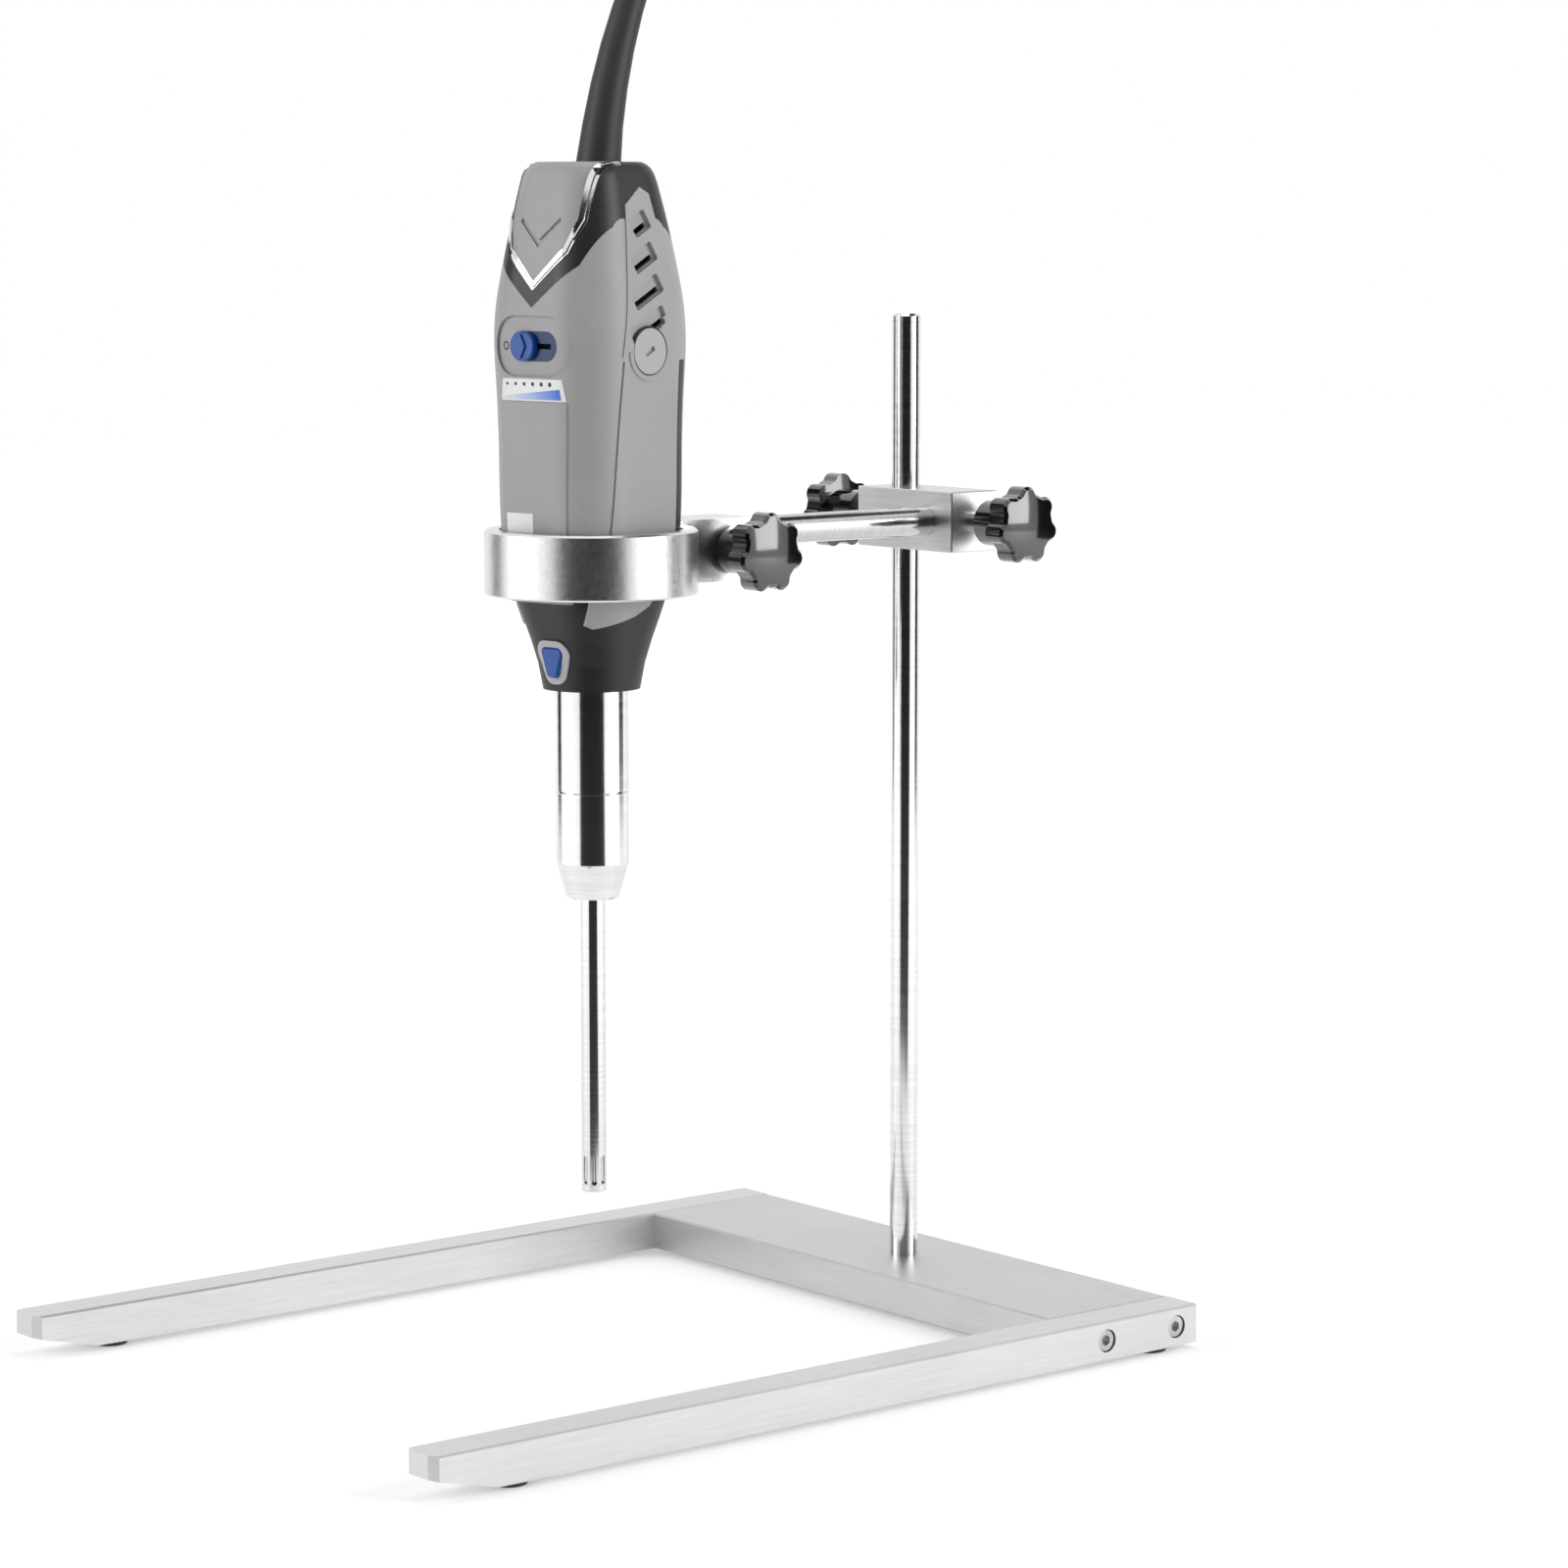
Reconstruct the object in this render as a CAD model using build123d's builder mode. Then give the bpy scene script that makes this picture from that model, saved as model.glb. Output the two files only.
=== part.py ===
from build123d import *
from math import cos, pi, radians, sin, tan
import os

os.makedirs("parts", exist_ok=True)

# Row frame: origin at the middle of the stand's footprint on the bench, +Z up,
# -Y towards the open ends of the legs, +X towards the vented side of the motor unit.
# All sizes in millimetres.

# ---- stand -------------------------------------------------------------
FOOT = 2.0
BAR_H = 16.0
BASE_W, BASE_L = 296.0, 380.0
LEG_T = 18.0
PLATE_D = 65.0
BAR_TOP = FOOT + BAR_H
RAMP_L, RAMP_H = 29.0, 7.0
ROD_D = 12.0
ROD_Y = 159.5
ROD_TOP = 418.0
RUN = 0.05

# ---- clamp head, arm, ring ---------------------------------------------
HEAD_X0, HEAD_X1 = -16.5, 43.5
HEAD_D = 25.0
HEAD_Z = 333.3
ARM_X = 27.0
RING_Y = -26.0
RING_Z0, RING_Z1 = 312.3, 337.8
RING_OD, RING_ID = 84.0, 72.0
LUG_Y, LUG_Z, LUG_W = 34.0, 327.5, 25.0

# ---- star knob ---------------------------------------------------------
KNOB_LOBES = 7
KNOB_R = 16.0
KNOB_T = 9.5
HUB_D, HUB_L = 19.0, 14.5
STUD_D = 8.0

# ---- motor unit and dispersing tool (heights in the row frame) ----------
YAW = 9.0
BODY_Z0 = 308.4
BODY_TOP = 480.2
NOSE_Z = 275.2
SLIDE_Z = 409.7
BRUSH_Z = 407.7
COLLAR_D = 29.4
SEAM_Z = 234.6
CONE_Z1, CONE_Z0 = 205.8, 192.2
CONE_D = 21.5
TUBE_D, TUBE_BORE = 10.0, 8.0
TUBE_END = 74.2
WINDOW_Z0, WINDOW_Z1 = 77.0, 89.0
WALL = 2.6
INLAY = 1.4
PANEL_PROUD = 0.8
SPIGOT_R, SPIGOT_H = 11.6, 9.0
BOOT_BASE_R, BOOT_BASE_Z, BOOT_TILT = 8.85, 478.5, 7.5

TOOL = Plane(origin=(ARM_X, RING_Y, 0), x_dir=(cos(radians(YAW)), sin(radians(YAW)), 0), z_dir=(0, 0, 1))

# height, half width, half depth, corner radius of the housing's section
BODY = (
    (306.0, 27.0, 27.5, 18.8),
    (322.0, 29.4, 29.9, 19.6),
    (340.0, 30.5, 31.0, 20.0),
    (368.0, 30.8, 31.6, 20.1),
    (392.0, 31.3, 32.2, 20.3),
    (415.0, 32.0, 33.0, 21.0),
    (427.0, 31.2, 32.1, 20.5),
    (438.0, 29.6, 30.4, 19.5),
    (457.0, 26.3, 26.8, 17.6),
    (470.0, 23.5, 24.0, 16.0),
    (476.0, 21.8, 22.2, 15.0),
    (BODY_TOP, 17.6, 18.0, 12.4),
)
NOSE = (
    (318.0, 27.2, 27.7, 18.9),
    (308.4, 25.5, 26.0, 19.0),
    (303.7, 24.3, 24.7, 18.5),
    (294.6, 22.0, 22.3, 18.2),
    (285.5, 20.5, 20.6, 19.4),
    (275.2, 19.0, 19.0, 18.8),
)


def save(solid, name, at=None):
    piece = solid if at is None else at.location * solid
    piece.label = name
    export_step(piece, f"parts/{name}.step")


def skin(sections, grow, low=None, high=None):
    """Solid lofted through the housing's sections, grown or shrunk all round."""
    rows = [s for s in sections if (low is None or s[0] >= low) and (high is None or s[0] <= high)]
    with BuildPart() as body:
        for z, a, b, r in rows:
            with BuildSketch(Plane.XY.offset(z)):
                RectangleRounded(2 * (a + grow), 2 * (b + grow), r + grow - 0.02)
        loft(ruled=sections is NOSE)
    return body.part


def front_prism(points, y0, y1):
    """Prism through the housing front to back, drawn in its front view."""
    with BuildPart() as prism:
        with BuildSketch(Plane.XZ.offset(-y1)):
            with BuildLine():
                Polyline(*points, close=True)
            make_face()
        extrude(amount=y1 - y0)
    return prism.part


def side_prism(points, x0, x1):
    """Prism across the housing, drawn in its side view."""
    with BuildPart() as prism:
        with BuildSketch(Plane.YZ.offset(x0)):
            with BuildLine():
                Polyline(*points, close=True)
            make_face()
        extrude(amount=x1 - x0)
    return prism.part


# ======================= stand ==========================================
# Rear cross plate: bar stock between the two legs, bored for the rod.
with BuildPart() as base_plate:
    with BuildSketch(Plane.XY.offset(FOOT)):
        with Locations((0, BASE_L / 2 - PLATE_D / 2)):
            Rectangle(BASE_W - 2 * LEG_T, PLATE_D)
    extrude(amount=BAR_H)
    chamfer(base_plate.edges().filter_by(Axis.X), 0.8)
    with Locations((0, ROD_Y, BAR_TOP)):
        Hole(5 + RUN, 30)
    with Locations((0, ROD_Y, FOOT)):
        Cylinder(8.5, 5.4, align=(Align.CENTER, Align.CENTER, Align.MIN), mode=Mode.SUBTRACT)
    for side in (-1, 1):
        for rear in (11.0, 49.5):
            tapped = (side * (BASE_W / 2 - LEG_T), BASE_L / 2 - rear, FOOT + BAR_H / 2)
            with Locations(Location(tapped, (0, 90, 0))):
                Cylinder(2.5, 40, mode=Mode.SUBTRACT)
save(base_plate.part, "base_plate")

# Two long legs: the front end is bevelled at its corners and ramps up underneath.
for name, side in (("leg_left", -1), ("leg_right", 1)):
    with BuildPart() as leg:
        with BuildSketch(Plane.YZ.offset(side * (BASE_W / 2 - LEG_T / 2) - LEG_T / 2)):
            with BuildLine():
                Polyline(
                    (-BASE_L / 2, BAR_TOP),
                    (-BASE_L / 2, FOOT + RAMP_H),
                    (-BASE_L / 2 + RAMP_L, FOOT),
                    (BASE_L / 2, FOOT),
                    (BASE_L / 2, BAR_TOP),
                    close=True,
                )
            make_face()
        extrude(amount=LEG_T)
        chamfer(leg.edges().filter_by(Axis.Z).group_by(Axis.Y)[0], 3.0)
        chamfer(leg.faces().sort_by(Axis.Z)[-1].edges().filter_by(Axis.Y), 0.8)
        for rear in (11.0, 49.5):
            with Locations(Location((side * BASE_W / 2, BASE_L / 2 - rear, FOOT + BAR_H / 2), (0, 90, 0))):
                Cylinder(4.7, 11.2, mode=Mode.SUBTRACT)
                Cylinder(2.7, 60, mode=Mode.SUBTRACT)
    save(leg.part, name)

# Four M5 socket cap screws that hold the legs on the plate's ends.
with BuildPart() as leg_screws:
    for side in (-1, 1):
        for rear in (11.0, 49.5):
            seat = Plane(
                origin=(side * (BASE_W / 2 - 5.6), BASE_L / 2 - rear, FOOT + BAR_H / 2), z_dir=(side, 0, 0)
            )
            with BuildSketch(seat):
                Circle(4.25)
            extrude(amount=4.8)
            with BuildSketch(seat):
                Circle(2.5)
            extrude(amount=-26)
            with BuildSketch(seat.offset(4.8)):
                RegularPolygon(2.0, 6, major_radius=False)
            extrude(amount=-2.6, mode=Mode.SUBTRACT)
save(leg_screws.part, "leg_screws")

# Rubber pads under the legs.
with BuildPart() as base_feet:
    for side in (-1, 1):
        for y in (-150.0, 172.0):
            with Locations((side * (BASE_W / 2 - LEG_T / 2), y, 0)):
                Cylinder(7.0, FOOT, align=(Align.CENTER, Align.CENTER, Align.MIN))
save(base_feet.part, "base_feet")

# Ground and polished rod with a turned spigot, held by a screw from below.
with BuildPart() as stand_rod:
    with Locations((0, ROD_Y, BAR_TOP + 0.1)):
        Cylinder(ROD_D / 2, ROD_TOP - BAR_TOP - 0.1, align=(Align.CENTER, Align.CENTER, Align.MIN))
    chamfer(stand_rod.edges().sort_by(Axis.Z)[-1], 1.0)
    with Locations((0, ROD_Y, FOOT + 5.6)):
        Cylinder(5.0, BAR_H - 5.4, align=(Align.CENTER, Align.CENTER, Align.MIN))
    with Locations((0, ROD_Y, FOOT + 5.6)):
        Cylinder(2.5, 22, mode=Mode.SUBTRACT)
save(stand_rod.part, "stand_rod")

with BuildPart() as rod_screw:
    with Locations((0, ROD_Y, FOOT + 0.8)):
        Cylinder(6.5, 4.6, align=(Align.CENTER, Align.CENTER, Align.MIN))
    with Locations((0, ROD_Y, FOOT + 5.4)):
        Cylinder(2.5, 11, align=(Align.CENTER, Align.CENTER, Align.MIN))
    with BuildSketch(Plane.XY.offset(FOOT + 0.8)):
        with Locations((0, ROD_Y)):
            RegularPolygon(2.5, 6, major_radius=False)
    extrude(amount=2.5, mode=Mode.SUBTRACT)
save(rod_screw.part, "rod_screw")

# ======================= clamp head =====================================
# One block of bar: upright bore for the rod, level bore for the arm, a tapped
# hole in each end for a star knob.
with BuildPart() as boss_head:
    with Locations(((HEAD_X0 + HEAD_X1) / 2, ROD_Y, HEAD_Z)):
        Box(HEAD_X1 - HEAD_X0, HEAD_D, HEAD_D)
    chamfer(boss_head.edges(), 0.4)
    with Locations((0, ROD_Y, HEAD_Z)):
        Cylinder(ROD_D / 2 + RUN, 40, mode=Mode.SUBTRACT)
    with Locations(Location((ARM_X, ROD_Y, HEAD_Z), (90, 0, 0))):
        Cylinder(ROD_D / 2 + RUN, 40, mode=Mode.SUBTRACT)
    with Locations(Location((HEAD_X0, ROD_Y, HEAD_Z), (0, 90, 0))):
        Cylinder(STUD_D / 2 + RUN, 26, mode=Mode.SUBTRACT)
    with Locations(Location((HEAD_X1, ROD_Y, HEAD_Z), (0, 90, 0))):
        Cylinder(STUD_D / 2 + RUN, 26, mode=Mode.SUBTRACT)
save(boss_head.part, "boss_head")

# Cross arm of the same bar as the rod.
with BuildPart() as cross_arm:
    arm_y0, arm_y1 = LUG_Y - 12.0, ROD_Y + 27.0
    with Locations(Location((ARM_X, (arm_y0 + arm_y1) / 2, HEAD_Z), (90, 0, 0))):
        Cylinder(ROD_D / 2, arm_y1 - arm_y0)
    chamfer(cross_arm.edges().group_by(Axis.Y)[0] + cross_arm.edges().group_by(Axis.Y)[-1], 0.8)
save(cross_arm.part, "cross_arm")


def star_knob(name, stud_name, face, reach, gap, turn):
    """Seven-lobe moulded knob on a steel stud; face is the plane of the part it clamps."""
    with BuildPart() as knob:
        with BuildSketch(face.offset(gap + HUB_L)) as star:
            Circle(KNOB_R - 2.6)
            with PolarLocations(KNOB_R - 4.1, KNOB_LOBES, start_angle=turn):
                Circle(4.1)
            fillet(star.vertices(), 2.4)
        extrude(amount=KNOB_T)
        rim = knob.faces().sort_by(Axis(face.origin, face.z_dir))[-1]
        chamfer(rim.outer_wire().edges(), 1.2)
        with BuildSketch(face.offset(gap)):
            Circle(HUB_D / 2)
        extrude(amount=HUB_L)
        with BuildSketch(face.offset(gap)):
            Circle(STUD_D / 2)
        extrude(amount=HUB_L + 1, mode=Mode.SUBTRACT)
    save(knob.part, name)
    with BuildPart() as stud:
        with BuildSketch(face.offset(-reach)):
            Circle(STUD_D / 2)
        extrude(amount=reach + gap + HUB_L + 1)
        chamfer(stud.edges().sort_by(Axis(face.origin, face.z_dir))[0], 0.9)
    save(stud.part, stud_name)


FACE_ROD = Plane(origin=(HEAD_X0, ROD_Y, HEAD_Z), x_dir=(0, -1, 0), z_dir=(-1, 0, 0))
FACE_ARM = Plane(origin=(HEAD_X1, ROD_Y, HEAD_Z), x_dir=(0, 1, 0), z_dir=(1, 0, 0))
FACE_RING = Plane(origin=(ARM_X + LUG_W / 2, LUG_Y, LUG_Z), x_dir=(0, 1, 0), z_dir=(1, 0, 0))
star_knob("rod_knob", "rod_knob_stud", FACE_ROD, 10.4, 10.0, 90)
star_knob("arm_knob", "arm_knob_stud", FACE_ARM, 10.4, 10.0, 90)
star_knob("ring_knob", "ring_knob_stud", FACE_RING, 5.6, 3.0, 90)

# ======================= holder ring ====================================
# Turned ring with a square lug behind; the lug is slit over the arm's bore.
with BuildPart() as holder_ring:
    with BuildSketch(Plane.XY.offset(RING_Z0)):
        with Locations((ARM_X, RING_Y)):
            Circle(RING_OD / 2)
    extrude(amount=RING_Z1 - RING_Z0)
    chamfer(holder_ring.edges().filter_by(GeomType.CIRCLE), 0.8)
    with BuildSketch(Plane.XY.offset(LUG_Z - LUG_W / 2)):
        with Locations((ARM_X, (RING_Y + 34 + LUG_Y + 12.5) / 2)):
            Rectangle(LUG_W, LUG_Y + 12.5 - RING_Y - 34)
    extrude(amount=LUG_W)
    with Locations((ARM_X, RING_Y, RING_Z0)):
        Cylinder(RING_ID / 2, 100, mode=Mode.SUBTRACT)
    with Locations(Location((ARM_X, LUG_Y + 1, HEAD_Z), (90, 0, 0))):
        Cylinder(ROD_D / 2 + RUN, 27, mode=Mode.SUBTRACT)
    with Locations((ARM_X, LUG_Y, LUG_Z + 10)):
        Box(1.6, 30, 10, mode=Mode.SUBTRACT)
    with Locations(Location((ARM_X + 10, LUG_Y, LUG_Z), (0, 90, 0))):
        Cylinder(STUD_D / 2 + RUN, 14, mode=Mode.SUBTRACT)
save(holder_ring.part, "holder_ring")

# ======================= motor housing ==================================
outer = skin(BODY, 0)
inner = skin(BODY, -WALL)
under_inlay = skin(BODY, -INLAY)
proud = skin(BODY, 0.9)


def shield(tip_z, half, grow):
    """Front-view outline of the rear cap: a V that opens upwards to the top."""
    return (
        (0, tip_z - grow * 1.2),
        (half * 0.78 + grow * 0.8, tip_z + 13 - grow * 0.8),
        (half + grow, tip_z + 24 - grow * 0.4),
        (half + grow, 500),
        (-half - grow, 500),
        (-half - grow, tip_z + 24 - grow * 0.4),
        (-half * 0.78 - grow * 0.8, tip_z + 13 - grow * 0.8),
    )


CAP_TIP, CAP_HALF = 434.5, 17.6
cap_zone = front_prism(shield(CAP_TIP, CAP_HALF, 0), -60, 60)
TRIM_W, BEAD_IN, BEAD_OUT = 2.8, 0.8, 2.0
trim_zone = front_prism(shield(CAP_TIP, CAP_HALF, TRIM_W), -60, -3)
bead_zone = front_prism(shield(CAP_TIP, CAP_HALF, BEAD_OUT), -60, -3)
bead_zone -= front_prism(shield(CAP_TIP, CAP_HALF, BEAD_IN), -60, -3)
band_zone = front_prism(shield(CAP_TIP, CAP_HALF, 8.4), -60, 60)

# V-shaped groove pressed in the front of the cap, as a thumb mark.
NOTCH = ((0, 447.4), (11, 457.4), (10, 458.8), (0, 450.4), (-10, 458.8), (-11, 457.4))

# Rear cap between the two trims, carrying the cord entry: the boot's base sits in a
# shallow seat in its top.
with BuildPart() as rear_cap:
    add(outer)
    add(skin(BODY, -WALL, high=476.0), mode=Mode.SUBTRACT)
    add(cap_zone, mode=Mode.INTERSECT)
    with Locations(Location((0, 5, BOOT_BASE_Z), (-BOOT_TILT, 0, 0))):
        Cylinder(7.1, 20, mode=Mode.SUBTRACT)
        Cylinder(BOOT_BASE_R + 0.1, 10, align=(Align.CENTER, Align.CENTER, Align.MIN), mode=Mode.SUBTRACT)
    add(front_prism(NOTCH, -60, 0) - skin(BODY, -0.9), mode=Mode.SUBTRACT)
save(rear_cap.part, "rear_cap", TOOL)

# Bright trim that runs round the front of the cap: a flat band with a raised bead.
with BuildPart() as chrome_trim:
    add(skin(BODY, 0.3))
    add(under_inlay, mode=Mode.SUBTRACT)
    add(trim_zone, mode=Mode.INTERSECT)
    add(cap_zone, mode=Mode.SUBTRACT)
    add((proud - under_inlay) & bead_zone)
save(chrome_trim.part, "chrome_trim", TOOL)

# Outline of the vent frames in side view, with the brush cap's boss.
VENT = ((-15.0, 405.5), (14.5, 425.0), (7.6, 468.0), (3.0, 470.5), (-6.5, 463.5))
grille_zone = {}
for side in (-1, 1):
    boss = Location((side * 12, 0, BRUSH_Z), (0, side * 90, 0)) * Cylinder(
        11.4, 32, align=(Align.CENTER, Align.CENTER, Align.MIN)
    )
    grille_zone[side] = side_prism(VENT, side * 12, side * 44) + boss
both_grilles = grille_zone[-1] + grille_zone[1]

# Black overmoulded band outside the trim.
with BuildPart() as grip_band:
    add(outer)
    add(under_inlay, mode=Mode.SUBTRACT)
    add(band_zone, mode=Mode.INTERSECT)
    add(cap_zone, mode=Mode.SUBTRACT)
    add(trim_zone, mode=Mode.SUBTRACT)
    add(both_grilles, mode=Mode.SUBTRACT)
save(grip_band.part, "grip_band", TOOL)

# Side vents: a raised frame on each side with four slanted bays. Behind each bay the
# shell's wall is the louvre, with an air slot along the bay's lower edge. The frame
# carries a round boss for the brush cap.
VENT_SLANT = 26.0
VENT_BAYS = 4
VENT_PITCH = 13.0
VENT_Z = 417.5


def vent_bays(side, height, drop):
    """Four slanted slots on one side, each shorter than the one below, moved down by drop."""
    with BuildPart() as bays:
        for i in range(VENT_BAYS):
            long = 21.0 - 3.6 * i
            with BuildSketch(Plane.YZ.offset(side * 12)):
                with Locations(Location((0.3 * i - 0.8, VENT_Z - drop + VENT_PITCH * i), VENT_SLANT)):
                    RectangleRounded(long, height, 0.9)
            extrude(amount=side * 33)
    return bays.part


with BuildPart() as vent_grilles:
    add(skin(BODY, 0.5))
    add(under_inlay, mode=Mode.SUBTRACT)
    add(both_grilles, mode=Mode.INTERSECT)
    add(trim_zone + cap_zone, mode=Mode.SUBTRACT)
    for side in (-1, 1):
        add(vent_bays(side, 7.6, 0), mode=Mode.SUBTRACT)
    with Locations(Location((0, 0, BRUSH_Z), (0, 90, 0))):
        Cylinder(9.4, 90, mode=Mode.SUBTRACT)
save(vent_grilles.part, "vent_grilles", TOOL)

# Front inlays: slider recess plate, scale plate, long front panel.
recess_plane = Plane.XZ.offset(10)
with BuildPart() as recess_zone:
    with BuildSketch(recess_plane):
        with Locations((0, SLIDE_Z)):
            SlotOverall(41, 23.5)
    extrude(amount=40)
with BuildPart() as slot_zone:
    with BuildSketch(recess_plane):
        with Locations((1.0, SLIDE_Z)):
            SlotOverall(24, 11.6)
    extrude(amount=40)
with BuildPart() as speed_plate:
    add(skin(BODY, -1.2))
    add(inner, mode=Mode.SUBTRACT)
    add(recess_zone.part, mode=Mode.INTERSECT)
    add(slot_zone.part, mode=Mode.SUBTRACT)
save(speed_plate.part, "speed_plate", TOOL)

scale_zone = front_prism(((-15.8, 397.2), (15.8, 397.2), (17.4, 388.6), (-17.4, 388.6)), -60, 0)
with BuildPart() as scale_plate:
    add(skin(BODY, 0.3))
    add(under_inlay, mode=Mode.SUBTRACT)
    add(scale_zone, mode=Mode.INTERSECT)
    add(recess_zone.part, mode=Mode.SUBTRACT)
save(scale_plate.part, "scale_plate", TOOL)

panel_zone = front_prism(((-17.4, 388.4), (17.4, 388.4), (15.6, 310.5), (-15.6, 310.5)), -60, 0)
with BuildPart() as front_panel:
    add(skin(BODY, PANEL_PROUD))
    add(under_inlay, mode=Mode.SUBTRACT)
    add(panel_zone, mode=Mode.INTERSECT)
save(front_panel.part, "front_panel", TOOL)

# Rubber sleeve in the ring that the housing's taper sits in, with a rebate that the
# raised front panel slides up through.
rebate_zone = front_prism(((-17.0, 345.0), (17.0, 345.0), (16.1, 305.0), (-16.1, 305.0)), -60, 0)
with BuildPart() as ring_liner:
    with BuildSketch(Plane.XY.offset(RING_Z0 + 1)):
        Circle(RING_ID / 2)
    extrude(amount=RING_Z1 - RING_Z0 - 2.6)
    add(skin(BODY, 0.3), mode=Mode.SUBTRACT)
    add(skin(BODY, PANEL_PROUD + 0.4) & rebate_zone, mode=Mode.SUBTRACT)
save(ring_liner.part, "ring_liner", TOOL)

# Black strips along the rear corners.
strip_zone = {
    side: side_prism(((17.5, 404.0), (22.5, 404.0), (21.5, 313.0), (16.5, 313.0)), side * 8, side * 44)
    for side in (-1, 1)
}
with BuildPart() as grip_strips:
    add(outer)
    add(under_inlay, mode=Mode.SUBTRACT)
    add(strip_zone[-1] + strip_zone[1], mode=Mode.INTERSECT)
save(grip_strips.part, "grip_strips", TOOL)

# Two clamshell halves with a wall all round, cut for every inlay, slot and brush,
# and joined by four screws through posts.
GROOVE = ((-14.6, 404.0), (-13.6, 404.0), (-20.2, 313.5), (-21.2, 313.5))
POSTS = ((23.0, 335.5), (-23.0, 335.5), (23.0, 394.0), (13.0, 451.0))
ledge = skin(BODY, 2.0) - under_inlay
inlays = [trim_zone, band_zone, scale_zone, panel_zone]
for side in (-1, 1):
    inlays += [grille_zone[side], strip_zone[side]]
with BuildPart() as shells:
    add(outer)
    add(inner, mode=Mode.SUBTRACT)
    add(cap_zone, mode=Mode.SUBTRACT)
    with BuildPart(mode=Mode.PRIVATE) as posts:
        for y, z in POSTS:
            with Locations(Location((0, y, z), (0, 90, 0))):
                Cylinder(4.2, 80)
        add(skin(BODY, -WALL + 0.4), mode=Mode.INTERSECT)
    add(posts.part)
    with Locations((0, 0, BODY_Z0 + 4)):
        Box(90, 90, 30, align=(Align.CENTER, Align.CENTER, Align.MAX), mode=Mode.SUBTRACT)
    for zone in inlays:
        add(ledge & zone, mode=Mode.SUBTRACT)
    add(recess_zone.part, mode=Mode.SUBTRACT)
    for side in (-1, 1):
        add(vent_bays(side, 2.4, 2.6), mode=Mode.SUBTRACT)
        add(side_prism(GROOVE, side * 8, side * 44) - skin(BODY, -0.7), mode=Mode.SUBTRACT)
    with Locations(Location((0, 0, BRUSH_Z), (0, 90, 0))):
        Cylinder(9.0, 90, mode=Mode.SUBTRACT)
    for y, z in POSTS:
        with Locations(Location((0, y, z), (0, 90, 0))):
            Cylinder(1.5, 32, mode=Mode.SUBTRACT)
        with Locations(Location((-15, y, z), (0, -90, 0))):
            Cylinder(3.1, 30, align=(Align.CENTER, Align.CENTER, Align.MIN), mode=Mode.SUBTRACT)

# Each half ends in a slanted finger that laps over the nose.
FINGER = ((-22.0, 313.4), (-21.0, 302.0), (-18.6, 300.6), (-2.0, 304.8), (5.5, 308.6), (8.5, 313.4))
finger_zone = {side: side_prism(FINGER, side * 8, side * 44) for side in (-1, 1)}
under_finger = skin(NOSE, -1.2)
for name, side in (("housing_left", -1), ("housing_right", 1)):
    with BuildPart() as half:
        add(shells.part)
        with Locations((side * 50, 0, 390)):
            Box(100, 200, 300, mode=Mode.INTERSECT)
        add((skin(NOSE, 0.7) - under_finger) & finger_zone[side])
    save(half.part, name, TOOL)

with BuildPart() as housing_screws:
    for y, z in POSTS:
        with Locations(Location((-15, y, z), (0, -90, 0))):
            Cylinder(2.9, 2.2, align=(Align.CENTER, Align.CENTER, Align.MIN))
            Cylinder(1.5, 28, align=(Align.CENTER, Align.CENTER, Align.MAX))
save(housing_screws.part, "housing_screws", TOOL)

# ======================= nose ===========================================
# Moulded nose that closes the housing and carries the front bearing, with a seat
# for the rounded triangular surround of the spindle-lock button.
BUTTON_Z = 287.0


def button_prism(grow, y0, y1):
    """Rounded triangle that narrows downwards, grown all round, front to back."""
    with BuildPart() as prism:
        with BuildSketch(Plane.XZ.offset(-y1)) as outline:
            with BuildLine():
                Polyline((-6.3, 292.6), (6.3, 292.6), (2.4, 280.8), (-2.4, 280.8), close=True)
            make_face()
            fillet(outline.vertices(), 2.3)
            if grow:
                offset(amount=grow)
        extrude(amount=y1 - y0)
    return prism.part


bezel_zone = button_prism(2.7, -30, -10)
with BuildPart() as nose_cone:
    add(skin(NOSE, 0))
    with Locations((0, 0, BODY_Z0 + 4)):
        Box(90, 90, 20, align=(Align.CENTER, Align.CENTER, Align.MIN), mode=Mode.SUBTRACT)
    with BuildPart(mode=Mode.PRIVATE) as hollow:
        add(skin(NOSE, -2.4))
        with Locations((0, 0, 300.0)):
            Box(90, 90, 40, align=(Align.CENTER, Align.CENTER, Align.MIN), mode=Mode.INTERSECT)
    add(hollow.part, mode=Mode.SUBTRACT)
    with Locations((0, 0, 291.0)):
        Cylinder(11.0, 20, align=(Align.CENTER, Align.CENTER, Align.MIN), mode=Mode.SUBTRACT)
    with Locations((0, 0, NOSE_Z)):
        Cylinder(SPIGOT_R, SPIGOT_H, align=(Align.CENTER, Align.CENTER, Align.MIN), mode=Mode.SUBTRACT)
        Cylinder(8.0, 30, align=(Align.CENTER, Align.CENTER, Align.MIN), mode=Mode.SUBTRACT)
    add(bezel_zone - under_finger, mode=Mode.SUBTRACT)
    for side in (-1, 1):
        add(finger_zone[side] - under_finger, mode=Mode.SUBTRACT)
    with Locations(Location((0, -7, BUTTON_Z), (90, 0, 0))):
        Cylinder(1.8, 30, mode=Mode.SUBTRACT)
    add(button_prism(0.15, -42, -12), mode=Mode.SUBTRACT)
save(nose_cone.part, "nose_cone", TOOL)

with BuildPart() as button_bezel:
    add(skin(NOSE, 0.9))
    add(bezel_zone, mode=Mode.INTERSECT)
    add(under_finger, mode=Mode.SUBTRACT)
    add(button_prism(0.15, -42, -12), mode=Mode.SUBTRACT)
save(button_bezel.part, "button_bezel", TOOL)

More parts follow.
